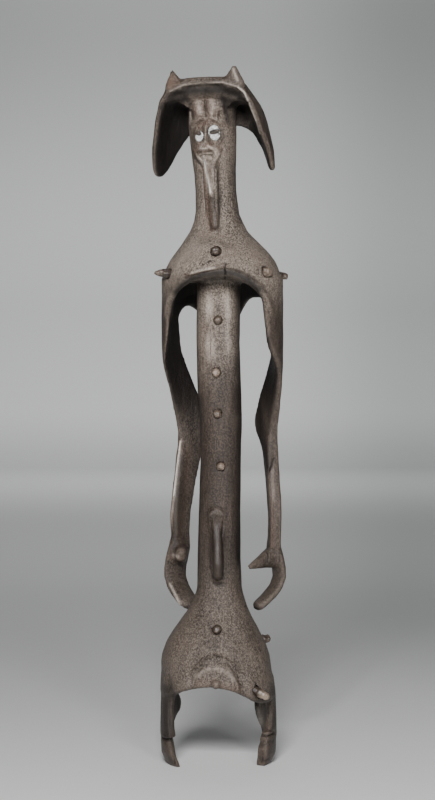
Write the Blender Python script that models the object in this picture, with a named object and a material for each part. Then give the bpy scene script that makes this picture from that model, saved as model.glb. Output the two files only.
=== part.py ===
"""Carved wooden standing figure: a log opened into a hood, a shoulder shell, plate arms and plate legs.

Metres, +Z up, the figure's front faces -Y and its own left is +X. The soles stand on z = 0.
The carving is a free form, so its sizes are shares of the height, written in carving units: the figure
is 944 units high. The pegs and eye inlays are fitted pieces with sizes of their own.
Angles go round the upright axis: 0 degrees is the front and 90 degrees is the figure's left.
"""
from math import cos, pi, radians, sin

import bmesh
import bpy
import numpy as np
from mathutils import Matrix, Vector
from mathutils.bvhtree import BVHTree

# Driving dimensions
HEIGHT = 0.944
UNIT = HEIGHT / 944

# Directions
SIDEWAYS = Vector((1, 0, 0))
BACKWARDS = Vector((0, 1, 0))
UPWARDS = Vector((0, 0, 1))

# Fit of the inserted pieces
FIT_GAP = 0.0003
PEG_DEPTH = 0.009
INLAY_THICKNESS = 0.0016
INLAY_PROUD = 0.0004

# Twist of the log: how far each part of the figure is turned to its own left, in degrees
HEAD_TURN = -7
CHIN_TURN = -2
SHOULDER_TURN = -2
ARM_TURN = -4
TORSO_TURN = 3
PELVIS_TURN = 6

# Mesh of the carving: steps round the axis, voxel of the union, rounds of smoothing, triangles that are kept
SHELL_STEPS = 120
VOXEL = 2.2
SMOOTH_ROUNDS = 5
KEPT_TRIANGLES = 7700

# Centre line and half width of the column, from the pelvis up to the crown: height, sideways shift, half width
COLUMN = [
    (138, 0.0, 30), (205, 0.5, 31), (242, 1.4, 30.8), (276, 1.0, 29.6), (348, 1.7, 28.6), (408, 3.1, 27.7),
    (472, 3.4, 29.2), (509, 1.2, 30.0), (576, -0.7, 29.8), (606, 0.0, 30.2), (650, 0.0, 29.5),
    (700, 1.0, 30), (738, 0.0, 31.5), (753, -1.8, 29.9), (778, -3.4, 27.8), (804, -4.5, 28.5),
    (829, -6.0, 30.6), (849, -7.2, 32.2), (863, -8.0, 33.0), (900, -8.4, 33.0), (929, -8.4, 28),
]
HEAD_SHIFT = -8

# Shoulder shell: height, sideways shift, outer radius
SHOULDERS = [
    (749, -1.8, 30.0), (738, 0.0, 33.6), (726, 0.0, 37.8), (710, 3.0, 51.0), (695, 5.4, 63.8), (684, 5.4, 72.0),
    (672, 5.2, 77.6), (652, 5.2, 81.8), (631, 5.5, 83.4), (590, 5.5, 83.4),
]
# Lower edge of the shoulder shell, from the back over the figure's right and front to its left: angle, height
SHOULDER_EDGE = [
    (-180, 600), (-158, 605), (-146, 618), (-139, 625), (-129, 625), (-120, 616), (-112, 602), (-64, 600),
    (-58, 614), (-52, 626), (-42, 639), (-34, 646), (-22, 654), (-8, 657.5), (6, 659.5), (16, 659), (24, 655),
    (34, 648), (44, 639), (52, 628), (58, 615), (64, 600), (112, 602), (120, 614), (128, 624), (135, 632),
    (145, 637), (154, 637), (161, 634), (166, 624), (171, 606), (180, 600),
]
SHOULDER_WALL = 12
RIM_BAND = 12
RIM_PROUD = 3.6

# Plate arms cut from the log's wall: height, angle of the front edge, rear edge on the right and on the left
ARM_EDGES = [
    (662, 60, 106, 106), (640, 53, 112, 112), (624, 55, 115, 115), (599, 59, 116, 116), (575, 62, 118, 118),
    (560, 68, 121, 121), (547, 78, 126, 126), (531, 93, 132, 132), (510, 103, 140, 140), (497, 108, 145, 145),
    (467, 116, 152, 152), (450, 119, 153, 150), (437, 119, 149.5, 143), (412, 116, 145, 137), (385, 113, 140, 133),
    (361, 109, 136, 130.5), (337, 106.5, 132.5, 127.5), (313, 107, 131, 128), (290, 109, 132, 130),
]
ARM_RADIUS = 83.4
ARM_SHIFT = 5.5
# Thickness of the arm plates at their front and rear edges: height, front, rear
ARM_WALL = {
    -1: [(662, 11, 12), (600, 10, 13), (560, 8.5, 13), (470, 9, 15), (430, 13, 15), (300, 14, 15)],
    1: [(662, 12, 12), (600, 12.5, 13), (540, 13, 15), (470, 15, 16), (430, 19, 15), (412, 21, 15), (300, 19, 15)],
}

# Pelvis: height, sideways shift, outer radius
PELVIS = [
    (250, 1.4, 29), (234, 1.4, 31), (210, 0.0, 40.0), (197, -1.8, 48), (180, -3.4, 58.8), (164, -4.0, 67.7),
    (148, -3.8, 73.3), (137, -3.6, 74.9), (127, -2.8, 75), (116, -2.0, 76.8), (93, -0.8, 79.0), (70, 0.0, 79.8),
]
# Lower edge of the pelvis: angle from the figure's right round to its left, height
PELVIS_EDGE = [
    (-180, 122), (-130, 118), (-112, 98), (-62, 92), (-46, 100), (-25, 107), (-6, 109.5), (9, 106.5), (25, 100),
    (39, 90), (52, 84), (72, 86), (112, 96), (130, 118), (180, 122),
]
PELVIS_WALL = 15

# Legs, figure's right and left: height, angle of the front edge, angle of the rear edge
LEG_EDGES = {
    -1: [(118, 56, 104), (98, 58, 106), (88, 60, 129), (80, 61, 132), (66, 61, 131), (52, 60, 118), (37, 60, 108)],
    1: [(118, 58, 106), (100, 64, 112), (88, 72, 132), (80, 76, 135), (66, 76, 134), (54, 71, 130), (46, 64, 124),
        (40, 59, 117), (34, 58, 110)],
}
# Outer radius of the feet. The legs stand on it, a little in or out, and the feet's walls lie inside it.
FOOT_RADIUS = 79
# Outside and thickness of the legs: height, way out past the foot, wall
LEG_WALL = [(118, -3.0, 14), (100, -1.0, 14), (84, 0.4, 14), (50, 0.6, 14.5), (37, 0.4, 17)]
# Feet on the figure's right and left, along the log's wall from toe to heel: angle, instep height, wall
FEET = {
    -1: [(46, 7, 6.5), (50, 13, 7.5), (55, 19, 9), (60, 28, 11), (66, 36, 13.5), (80, 42, 15), (98, 42, 15),
         (108, 34, 15), (115, 16, 14)],
    1: [(55, 22, 14), (57, 30, 17), (62, 35, 17.5), (68, 38, 17), (80, 42, 15), (98, 42, 15), (108, 34, 15),
        (115, 16, 14)],
}
# Rounding of the foot's lower outer corner, from toe to heel: angle, way inwards
FOOT_ROUNDING = [(46, 2), (64, 6), (90, 10), (115, 10)]
SOLE_FLARE = 2


def clear_scene():
    for item in list(bpy.data.objects):
        bpy.data.objects.remove(item, do_unlink=True)


def surface_material(name, colour, roughness, metallic=0.0):
    material = bpy.data.materials.new(name)
    material.use_nodes = True
    shader = material.node_tree.nodes["Principled BSDF"]
    shader.inputs["Base Color"].default_value = (*colour, 1)
    shader.inputs["Roughness"].default_value = roughness
    shader.inputs["Metallic"].default_value = metallic
    return material


def read_table(table, at, column=1, reach=0.0):
    """Value of a table's column at one place, eased over a short reach so that its corners are round."""
    rows = sorted(table)
    places = [row[0] for row in rows]
    values = [row[column] for row in rows]
    window = np.linspace(-reach, reach, 5) if reach else [0.0]
    return float(np.mean([np.interp(at + step, places, values) for step in window]))


def turned(shift, turn):
    """Places a part: shifted sideways and turned to the figure's left, in carving units."""
    return Matrix.Scale(UNIT, 4) @ Matrix.Translation((shift, 0, 0)) @ Matrix.Rotation(radians(turn), 4, "Z")


def polar(radius, angle, height, shift=0.0):
    """Point at an angle in degrees from the front, round towards the figure's left."""
    return Vector((shift + radius * sin(radians(angle)), -radius * cos(radians(angle)), height))


def add_rings(mesh, rings, place, closed_path=False):
    """Skins a row of rings that have as many points each. The ends are capped, or joined on a closed path."""
    rows = [[mesh.verts.new(place @ point) for point in ring] for ring in rings]
    pairs = list(zip(rows, rows[1:]))
    if closed_path:
        pairs.append((rows[-1], rows[0]))
    faces = []
    for lower, upper in pairs:
        for at in range(len(lower)):
            after = (at + 1) % len(lower)
            faces.append(mesh.faces.new((lower[at], lower[after], upper[after], upper[at])))
    if not closed_path:
        faces.append(mesh.faces.new(rows[0]))
        faces.append(mesh.faces.new(rows[-1]))
    bmesh.ops.recalc_face_normals(mesh, faces=faces)


def oval_ring(centre, side, depth, half_side, half_depth, sides=20):
    """Oval ring of points about a centre, along two directions."""
    steps = [2 * pi * at / sides for at in range(sides)]
    return [centre + side * half_side * cos(step) + depth * half_depth * sin(step) for step in steps]


def add_limb(mesh, path, depth, place, sides=16):
    """Limb with an oval section along a path of rows: centre, half thickness, half breadth along depth."""
    centres = [Vector(row[0]) for row in path]
    rings = []
    for at, (_, thick, broad) in enumerate(path):
        along = centres[min(at + 1, len(path) - 1)] - centres[max(at - 1, 0)]
        side = along.cross(depth).normalized()
        across = side.cross(along).normalized()
        rings.append(oval_ring(centres[at], side, across, thick, broad, sides))
    tips = []
    for end, inner in ((0, 1), (-1, -2)):
        outward = (centres[end] - centres[inner]).normalized()
        reach = path[end][1] * 0.6
        tip = centres[end] + outward * reach
        tips.append([tip + (point - centres[end]) * 0.45 for point in rings[end]])
    add_rings(mesh, [tips[0], *rings, tips[1]], place)


def add_ball(mesh, centre, half_sizes, place):
    """Rounded lump of the carving with three half sizes."""
    shape = place @ Matrix.Translation(centre) @ Matrix.Diagonal((*half_sizes, 1))
    bmesh.ops.create_uvsphere(mesh, u_segments=20, v_segments=12, radius=1, matrix=shape)


def add_column(mesh):
    """Torso, neck and head in one upright column."""
    rings = []
    for height in np.linspace(COLUMN[0][0], COLUMN[-1][0], 60):
        shift = read_table(COLUMN, height, 1, 8)
        half = read_table(COLUMN, height, 2, 8)
        rings.append(oval_ring(Vector((shift, 0, height)), SIDEWAYS, BACKWARDS, half, half, 28))
    add_rings(mesh, rings, turned(0, 0))


# Hood

# Crown and outer wall of the hood at its sides, and at the front corners: height, radius
HOOD_SIDE = [
    (931, 0.5), (929, 28), (922, 42), (913, 52), (899, 64.5), (883, 73), (855, 79.5), (834, 84), (790, 87),
]
HOOD_FRONT = [
    (930, 0.5), (929.5, 52), (921, 66), (909, 74), (898, 79.5), (881, 82.5), (855, 84), (834, 85), (790, 87),
]
# Lower edge of the hood on either side of the front: angle, height on the figure's right, height on its left
HOOD_EDGE = [
    (0, 920, 920), (30, 918, 918), (44, 912, 912), (52, 899, 899), (59, 881, 881), (67, 861, 862), (76, 840, 844),
    (84, 822, 828), (91, 807, 813), (97, 801, 806), (104, 801, 807), (112, 808, 817), (119, 820, 833),
    (127, 841, 853), (137, 863, 866), (150, 873, 873), (180, 877, 877),
]
HOOD_RIM = [(0, 55), (25, 59), (39, 67), (50, 76), (60, 90)]
HOOD_WALL = [(0, 7), (50, 8), (100, 10), (130, 14), (180, 26)]
HOOD_CEILING = 898
# Horns on the figure's right and left: angle, foot height, rise, sideways lean, half width at foot and tip
HORNS = {-1: (-42, 916, 26, -4, 15.5, 1.4), 1: (41, 918, 26.5, -1, 16.5, 3.2)}
HORN_RADIUS = 62
HORN_DEPTH = 0.42
HORN_ROOT = 7


def hood_radius(angle, height):
    """Outer radius of the hood, rounder at its sides and back than at its front corners."""
    blend = float(np.interp(angle, (52, 86), (0, 1)))
    radius = read_table(HOOD_FRONT, height) * (1 - blend) + read_table(HOOD_SIDE, height) * blend
    flatter_back = float(np.interp(angle, (120, 180), (1, 0.86)))
    return min(radius * flatter_back, read_table(HOOD_RIM, angle) if angle < 60 else radius)


def hood_profile(angle):
    """Closed section of the hood at one angle: crown, outer wall, edge, inner wall, ceiling."""
    around = abs(angle)
    edge = read_table(HOOD_EDGE, around, 2 if angle > 0 else 1, 3)
    wall = read_table(HOOD_WALL, around)
    heights = [930, 929.8, 929.5, 928, 925, 921, 915, 907, 898, 888, 876, 862, 848, 834, 820, 808, 797]
    outer = [(2, 931), (26, 931)]
    for height in heights:
        level = max(height, edge + 2)
        outer.append((hood_radius(around, level), level))
    lowest = hood_radius(around, edge + 2)
    outer.append((lowest - wall * 0.35, edge))
    inner = [(lowest - wall * 0.8, edge + 1)]
    roof = max(HOOD_CEILING, edge - 2)
    for share in (0.15, 0.35, 0.6, 0.85):
        level = edge + 1 + (roof - edge - 1) * share
        thicker = wall * (1 + 0.5 * share)
        inner.append((min(hood_radius(around, max(level, edge + 2)) - thicker, lowest - wall * 0.8), level))
    inner.append((min(50, lowest - 12), roof + (2 if around > 50 else -8)))
    inner.append((min(40, lowest - 18), roof + (3 if around > 50 else -15)))
    inner.append((26, roof - 10))
    inner.append((2, roof - 10))
    return outer + inner


def add_hood(mesh):
    """Hood with two hanging flaps, open to the front."""
    steps = SHELL_STEPS
    rings = []
    for at in range(steps):
        angle = 360 * at / steps - 180
        rings.append([polar(radius, angle, height) for radius, height in hood_profile(angle)])
    add_rings(mesh, rings, turned(HEAD_SHIFT, HEAD_TURN), closed_path=True)


def add_horn(mesh, side):
    """Small flat-sided horn on a front corner of the hood. Side is 1 on the figure's left and -1 on its right."""
    place = turned(HEAD_SHIFT, HEAD_TURN)
    angle, height, rise, lean, base, tip = HORNS[side]
    foot = polar(HORN_RADIUS, angle, height)
    root = polar(HORN_RADIUS - HORN_ROOT, angle, height - HORN_ROOT)
    rings = [oval_ring(root, SIDEWAYS, BACKWARDS, base * 0.8, base * HORN_DEPTH * 0.8, 12)]
    for share in (0, 0.3, 0.6, 0.85, 1.0):
        half = base + (tip - base) * share ** 1.2
        centre = foot + Vector((lean * share, 2 * share, rise * share))
        rings.append(oval_ring(centre, SIDEWAYS, BACKWARDS, half, max(half * HORN_DEPTH, tip), 12))
    add_rings(mesh, rings, place)


# Face

EYE_HEIGHT = 854
FOREHEAD_HEIGHT = EYE_HEIGHT + 36
BROW_HEIGHT = EYE_HEIGHT + 20
NOSE_FOOT = EYE_HEIGHT - 12
MOUTH_HEIGHT = EYE_HEIGHT - 21
CHIN_HEIGHT = EYE_HEIGHT - 31


def add_face(mesh):
    """Forehead lobes, brow, nose ridge, cheeks and muzzle on the front of the column."""
    place = turned(HEAD_SHIFT, HEAD_TURN)
    for side in (-1, 1):
        add_ball(mesh, (side * 10.5, -23.5, FOREHEAD_HEIGHT), (13, 13, 16), place)
        brow = [((side * 1.5, -33.5, BROW_HEIGHT + 4), 3.2, 4.5), ((side * 9, -32, BROW_HEIGHT + 1), 3.2, 4.5),
                ((side * 17, -27, BROW_HEIGHT - 4), 3, 4.5), ((side * 24, -20, BROW_HEIGHT - 10), 2.6, 4)]
        add_limb(mesh, brow, BACKWARDS, place, 10)
        add_ball(mesh, (side * 10, -22, EYE_HEIGHT - 4), (12, 12.5, 18), place)
    nose = [((0, -33, BROW_HEIGHT), 2.6, 4), ((0, -35.5, EYE_HEIGHT), 2.8, 4.5),
            ((0.5, -38, NOSE_FOOT + 4), 4, 5), ((1, -38, NOSE_FOOT - 2), 6.5, 5)]
    add_limb(mesh, nose, BACKWARDS, place, 10)
    add_ball(mesh, (2.5, -28, MOUTH_HEIGHT), (14.5, 12.5, 8.5), place)
    add_ball(mesh, (3.5, -30, CHIN_HEIGHT), (9.5, 9.5, 8.5), place)


def add_beard(mesh):
    """Long chin rod that runs down the front of the neck."""
    path = [((-4.5, -31, 826), 9, 8.5), ((-4.5, -33.5, 812), 8.6, 8), ((-3.2, -33.5, 795), 7.4, 7.4),
            ((-2.2, -34, 778), 7, 7.2), ((-1.4, -36.5, 755), 7.4, 7.4), ((-0.2, -41, 738), 7, 7),
            ((2, -45, 726), 4.6, 5)]
    add_limb(mesh, path, BACKWARDS, turned(0, CHIN_TURN))


# Shoulders and arms

def shoulder_profile(angle):
    """Closed section of the shoulder shell at one angle, as radius, height and sideways shift."""
    around = abs(angle)
    edge = read_table(SHOULDER_EDGE, angle, 1, 3)
    band = float(np.interp(around, (52, 66), (RIM_PROUD, 0)))
    section = [(4, 752)]
    for height in (748, 740, 732, 724, 716, 708, 700, 692, 684, 676, 669, 662, 655, 645, 632, 618, 604, 592):
        level = max(height, edge + 3)
        lip = band * float(np.interp(level - edge, (RIM_BAND - 1, RIM_BAND + 1), (1, 0)))
        section.append((read_table(SHOULDERS, level, 2) + lip, level))
    outer = section[-1][0]
    section.append((outer - 3, edge))
    section.append((outer - SHOULDER_WALL + 2, edge))
    roof = max(edge + 7, 657)
    section.append((outer - SHOULDER_WALL, edge + 3))
    section.append((outer - SHOULDER_WALL - 3, edge + (roof - edge) * 0.5))
    section.append((outer - SHOULDER_WALL - 12, roof - 1))
    section.append((42, roof))
    section.append((24, 654))
    section.append((4, 654))
    return [(radius, height, read_table(SHOULDERS, height, 1)) for radius, height in section]


def add_shoulders(mesh):
    """Cape-like shell that carries the arms, hollow below, with a raised band on its front edge."""
    steps = SHELL_STEPS
    rings = []
    for at in range(steps):
        angle = 360 * at / steps - 180
        rings.append([polar(radius, angle, height, shift) for radius, height, shift in shoulder_profile(angle)])
    add_rings(mesh, rings, turned(0, SHOULDER_TURN), closed_path=True)


def plate_ring(height, front, rear, outer, wall_front, wall_rear, side, across=7):
    """Level ring of a plate that follows the log's wall between two angles, with rounded edges."""
    angles = np.linspace(front, rear, across)
    walls = np.linspace(wall_front, wall_rear, across)
    swell = np.sin(np.linspace(0, pi, across)) ** 0.5
    outside = [polar(outer - 2.5 * (1 - puff), side * angle, height) for angle, puff in zip(angles, swell)]
    inside = [polar(outer - wall + 2.5 * (1 - puff), side * angle, height)
              for angle, wall, puff in zip(angles, walls, swell)]
    return outside + inside[::-1]


def add_arm(mesh, side):
    """Plate arm that swings back at the elbow and forward again at the wrist."""
    rings = []
    for height in np.linspace(ARM_EDGES[0][0], ARM_EDGES[-1][0], 56):
        front = read_table(ARM_EDGES, height, 1, 6)
        rear = read_table(ARM_EDGES, height, 2 if side < 0 else 3, 6)
        wall_front = read_table(ARM_WALL[side], height, 1)
        wall_rear = read_table(ARM_WALL[side], height, 2)
        rings.append(plate_ring(height, front, rear, ARM_RADIUS, wall_front, wall_rear, side))
    add_rings(mesh, rings, turned(ARM_SHIFT, ARM_TURN))


# Hand: direction in which the fingers curl, seen from above and measured from straight ahead inwards
CURL_ANGLE = 56
PALM_BREADTH = {-1: 21, 1: 17}
PALM_OUTWARD = {-1: 4, 1: 0}
WRIST_ANGLE = 121.5
WRIST_RADIUS = 76
# Path of the hand from the wrist to the finger tips: way inwards, height, half thickness, share of the breadth
HAND_PATH = [
    (0, 304, 8.0, 0.75), (0, 290, 8.8, 0.95), (-3.8, 278, 9.0, 1.0), (-7.8, 264, 7.6, 1.0), (-8.7, 250, 7.2, 1.0),
    (-3.5, 237, 7.2, 1.0), (5, 227, 7.2, 1.0), (14, 218.5, 7.2, 0.95), (25, 210, 7.0, 0.78),
]
# Thumb on the figure's right and left hand: direction inwards, length, half size at root and tip, root height, drop
THUMBS = {-1: (10, 26, 14.0, 10.5, 282, 1), 1: (30, 54, 16.5, 3.8, 279, 13)}


def add_hand(mesh, side):
    """Hooked hand: flat curled fingers and a thumb that points inwards."""
    place = turned(ARM_SHIFT, ARM_TURN)
    wrist = polar(WRIST_RADIUS, side * WRIST_ANGLE, 0)
    inward = Vector((-side * sin(radians(CURL_ANGLE)), -cos(radians(CURL_ANGLE)), 0))
    breadth = Vector((side * cos(radians(CURL_ANGLE)), -sin(radians(CURL_ANGLE)), 0))
    path = []
    for way, height, thick, share in HAND_PATH:
        centre = wrist + inward * way + breadth * PALM_OUTWARD[side] + Vector((0, 0, height))
        path.append((centre, thick, PALM_BREADTH[side] * share))
    add_limb(mesh, path, breadth, place)
    heading, length, root, tip, height, drop = THUMBS[side]
    forward = Vector((-side * sin(radians(heading)), -cos(radians(heading)), 0))
    rows = []
    for share in (0, 0.35, 0.7, 1.0):
        half = root + (tip - root) * share
        rows.append((wrist + forward * length * share + Vector((0, 0, height - drop * share)), half * 0.8, half))
    add_limb(mesh, rows, UPWARDS, place)


# Navel, pelvis, legs and feet

def add_navel(mesh):
    """Long hanging navel: a ridge that grows into a rounded bulb."""
    path = [((-1.8, -25, 348), 7.5, 6), ((-1.8, -27, 341), 10.5, 6.5), ((-1.4, -26.5, 328), 10, 6),
            ((-0.8, -28.5, 312), 8.6, 7.5), ((-0.2, -32, 294), 8.6, 9), ((0.2, -34.5, 272), 9.2, 10.5),
            ((0.4, -34, 255), 7.5, 9.5)]
    add_limb(mesh, path, BACKWARDS, turned(0.5, TORSO_TURN))


GROOVE_TOP = 146
GROOVE_MIDDLE = 1
GROOVE_RADIUS = 36
GROOVE_DEPTH = 7.0
GROOVE_HALF_WIDTH = 6.0
FAN_DEPTH = 2.8


def pelvis_carving(angle, height):
    """Depth of the arched groove and of the fan that it encloses on the front of the pelvis."""
    sideways = read_table(PELVIS, height, 2) * radians(angle - GROOVE_MIDDLE)
    below_middle = GROOVE_TOP - height > GROOVE_RADIUS
    way = abs(sideways) if below_middle else Vector((sideways, height - GROOVE_TOP + GROOVE_RADIUS)).length
    off = way - GROOVE_RADIUS
    groove = GROOVE_DEPTH * np.exp(-(off / GROOVE_HALF_WIDTH) ** 2)
    fan = FAN_DEPTH if off < 0 else 0.0
    near = float(np.interp(height, (84, 100), (0.5, 1)))
    return float(max(groove, fan) * near) if abs(angle) < 60 else 0.0


def pelvis_profile(angle):
    """Closed section of the pelvis bell at one angle, as radius, height and sideways shift."""
    edge = read_table(PELVIS_EDGE, angle, 1, 4)
    section = [(4, 252)]
    for height in [*range(246, 170, -8), *range(166, 84, -4), 83]:
        level = max(height, edge + 3)
        section.append((read_table(PELVIS, level, 2) - pelvis_carving(angle, level), level))
    outer = section[-1][0]
    section.append((outer - 3, edge))
    section.append((outer - PELVIS_WALL + 3, edge))
    section.append((outer - PELVIS_WALL, edge + 4))
    section.append((outer - PELVIS_WALL - 8, edge + 12))
    section.append((44, max(edge + 20, 128)))
    section.append((20, 137))
    section.append((4, 137))
    return [(radius, height, read_table(PELVIS, height, 1)) for radius, height in section]


def add_pelvis(mesh):
    """Pelvis bell with an arched groove, open below between the legs, with a small knob at its lower edge."""
    steps = SHELL_STEPS
    rings = []
    for at in range(steps):
        angle = 360 * at / steps - 180
        rings.append([polar(radius, angle, height, shift) for radius, height, shift in pelvis_profile(angle)])
    place = turned(0, PELVIS_TURN)
    add_rings(mesh, rings, place, closed_path=True)
    add_ball(mesh, polar(75, -3, 114), (5.8, 8.5, 6.8), place)


def add_leg(mesh, side):
    """Short plate leg with a calf that swells backwards."""
    rings = []
    edges = LEG_EDGES[side]
    for height in np.linspace(edges[0][0], edges[-1][0], 24):
        front = read_table(edges, height, 1, 3)
        rear = read_table(edges, height, 2, 3)
        radius = FOOT_RADIUS + read_table(LEG_WALL, height, 1)
        wall = read_table(LEG_WALL, height, 2)
        rings.append(plate_ring(height, front, rear, radius, wall, wall, side))
    add_rings(mesh, rings, turned(0, PELVIS_TURN))


def add_foot(mesh, side):
    """Foot that follows the log's wall, toe to the front. It reaches below the sole, which is cut flat later."""
    below = -4
    foot = FEET[side]
    rings = []
    for angle in np.linspace(foot[0][0], foot[-1][0], 24):
        instep = read_table(foot, angle, 1, 2)
        outer = FOOT_RADIUS
        inner = outer - read_table(foot, angle, 2, 2)
        middle = (inner + outer) / 2
        crest = min(3, (outer - inner) / 4)
        rounding = read_table(FOOT_ROUNDING, angle)
        corners = [(inner - SOLE_FLARE, below), (inner - SOLE_FLARE, 2), (inner, min(12, instep * 0.6)),
                   (inner, instep * 0.75), (inner + crest, instep * 0.94), (middle, instep),
                   (outer - crest, instep * 0.94), (outer, instep * 0.75), (outer - rounding * 0.1, 14),
                   (outer - rounding * 0.5, 6), (outer - rounding, 0), (outer - rounding, below)]
        walls = (inner, outer)
        rings.append([polar(radius, side * angle, min(height, instep * (0.75 if radius in walls else 1)))
                      for radius, height in corners])
    add_rings(mesh, rings, turned(0, PELVIS_TURN))


# The carving as one solid

def carve_figure():
    """One closed mesh of the whole carving: the parts' union, smoothed, thinned out and cut flat at the soles."""
    mesh = bmesh.new()
    add_column(mesh)
    add_hood(mesh)
    add_face(mesh)
    add_beard(mesh)
    add_shoulders(mesh)
    add_navel(mesh)
    add_pelvis(mesh)
    for side in (-1, 1):
        add_horn(mesh, side)
        add_arm(mesh, side)
        add_hand(mesh, side)
        add_leg(mesh, side)
        add_foot(mesh, side)
    rough = bpy.data.meshes.new("figure_rough")
    mesh.to_mesh(rough)
    mesh.free()
    figure = bpy.data.objects.new("figure", rough)
    bpy.context.scene.collection.objects.link(figure)

    union = figure.modifiers.new("union", "REMESH")
    union.mode = "VOXEL"
    union.voxel_size = VOXEL * UNIT
    ease = figure.modifiers.new("ease", "SMOOTH")
    ease.factor = 0.5
    ease.iterations = int(SMOOTH_ROUNDS)
    bake(figure)
    figure.data.calc_loop_triangles()
    thin = figure.modifiers.new("thin", "DECIMATE")
    thin.ratio = KEPT_TRIANGLES / len(figure.data.loop_triangles)
    floor = sole_cutter()
    cut(figure, floor)
    bake(figure)
    bpy.data.objects.remove(floor, do_unlink=True)
    return figure


def bake(item):
    """Replaces an object's mesh with its evaluated one and drops the modifiers."""
    evaluated = item.evaluated_get(bpy.context.evaluated_depsgraph_get())
    fresh = bpy.data.meshes.new_from_object(evaluated)
    item.modifiers.clear()
    item.data = fresh


def sole_cutter():
    """Block under the floor plane that cuts the soles flat."""
    half = 0.2 * HEIGHT
    deep = 0.02 * HEIGHT
    mesh = bmesh.new()
    shape = Matrix.Translation((0, 0, -deep / 2)) @ Matrix.Diagonal((2 * half, 2 * half, deep, 1))
    bmesh.ops.create_cube(mesh, size=1, matrix=shape)
    return mesh_object("sole_cutter", mesh, cutter=True)


def mesh_object(name, mesh, cutter=False):
    """Object from a bmesh, smooth shaded, or a hidden cutter."""
    data = bpy.data.meshes.new(name)
    mesh.to_mesh(data)
    mesh.free()
    data.shade_smooth()
    data.set_sharp_from_angle(angle=radians(40))
    item = bpy.data.objects.new(name, data)
    bpy.context.scene.collection.objects.link(item)
    if cutter:
        item.hide_render = True
        item.display_type = "WIRE"
    return item


def cut(item, cutter):
    """Cuts one object with another, which stays as a modifier."""
    modifier = item.modifiers.new(cutter.name, "BOOLEAN")
    modifier.operation = "DIFFERENCE"
    modifier.solver = "EXACT"
    modifier.object = cutter


# Pegs: name, place (height, angle, sideways shift), aim (angle, rise in degrees), diameter, length proud, taper
PEGS = [
    ("peg_chest", (693, -2, 5.5), (-2, 8), 0.0150, 0.0090, 0.80),
    ("peg_right_shoulder", (665, -62, 5.5), (-67, 4), 0.0150, 0.0190, 0.55),
    ("peg_left_shoulder_front", (666, 54, 5.5), (50, 0), 0.0150, 0.0090, 0.75),
    ("peg_left_shoulder_back", (664, 107, 5.5), (103, 2), 0.0125, 0.0130, 0.75),
    ("peg_torso_1", (602, 5, 0), (5, 0), 0.0120, 0.0070, 0.75),
    ("peg_torso_2", (531, -2, 1), (-2, 0), 0.0115, 0.0070, 0.80),
    ("peg_torso_3", (475, -3, 3), (-3, 0), 0.0115, 0.0070, 0.80),
    ("peg_torso_4", (404, 7, 3), (7, 0), 0.0115, 0.0085, 0.80),
    ("peg_pelvis", (185, 7, -3), (7, 10), 0.0130, 0.0085, 0.80),
    ("peg_left_hip", (165, 110, -4), (104, 10), 0.0125, 0.0105, 0.90),
    ("peg_left_thigh", (101, 50, 0), (74, -24), 0.0130, 0.0165, 0.85),
]
PEG_SIDES = 8


def surface_hit(tree, height, angle, shift):
    """Where a level line from outside towards the axis meets the carving."""
    axis = Vector((shift, 0, height)) * UNIT
    away = polar(200, angle, 0) * UNIT
    return tree.ray_cast(axis + away, -away)[0]


def aim_direction(angle, rise):
    level = polar(1, angle, 0)
    return (level * cos(radians(rise)) + Vector((0, 0, sin(radians(rise))))).normalized()


def peg_mesh(radius, proud, taper, grow=0.0):
    """Round peg along +Z with its seat at z = 0. Grown on every side, it is its own socket's cutter."""
    end = radius * taper
    profile = [(radius * 0.92, -PEG_DEPTH), (radius, -PEG_DEPTH * 0.85), (radius, 0), (end, proud * 0.8),
               (end * 0.6, proud)]
    if grow:
        profile = [(radius + grow, -PEG_DEPTH - grow), (radius + grow, proud)]
    mesh = bmesh.new()
    rings = []
    for half, height in profile:
        rings.append(oval_ring(UPWARDS * height, SIDEWAYS, BACKWARDS, half, half, PEG_SIDES))
    add_rings(mesh, rings, Matrix.Identity(4))
    return mesh


def add_pegs(figure, tree, material):
    for name, (height, angle, shift), aim, diameter, proud, taper in PEGS:
        seat = surface_hit(tree, height, angle, shift)
        facing = aim_direction(*aim).to_track_quat("Z", "Y").to_matrix().to_4x4()
        place = Matrix.Translation(seat) @ facing
        peg = mesh_object(name, peg_mesh(diameter / 2, proud, taper))
        peg.matrix_world = place
        peg.data.materials.append(material)
        socket = mesh_object("socket_" + name, peg_mesh(diameter / 2, proud, taper, FIT_GAP), cutter=True)
        socket.matrix_world = place
        cut(figure, socket)


# Eye inlays: name, sideways place on the face, height, half width, half height, tilt in degrees, and the pupil's
# place and half sizes as shares of the plate's. The right eye's pupil has broken out through the plate's edge.
EYES = [
    ("eye_right", -10.6, EYE_HEIGHT - 3, 0.0056, 0.0070, -16, (-0.42, 0.52, 0.72, 0.44)),
    ("eye_left", 9.8, EYE_HEIGHT + 1.5, 0.0088, 0.0110, 12, (0.08, 0.10, 0.80, 0.29)),
]
EYE_SIDES = 18


def eye_ring(half_width, half_height, level, aside=0.0, raised=0.0):
    centre = Vector((aside, raised, level))
    return oval_ring(centre, SIDEWAYS, BACKWARDS, half_width, half_height, EYE_SIDES)


def eye_plate(half_width, half_height):
    """Oval metal plate with a worn edge."""
    worn = 0.93
    rings = [eye_ring(half_width, half_height, -INLAY_THICKNESS),
             eye_ring(half_width, half_height, -INLAY_THICKNESS / 4),
             eye_ring(half_width * worn, half_height * worn, 0)]
    mesh = bmesh.new()
    add_rings(mesh, rings, Matrix.Identity(4))
    return mesh


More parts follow.
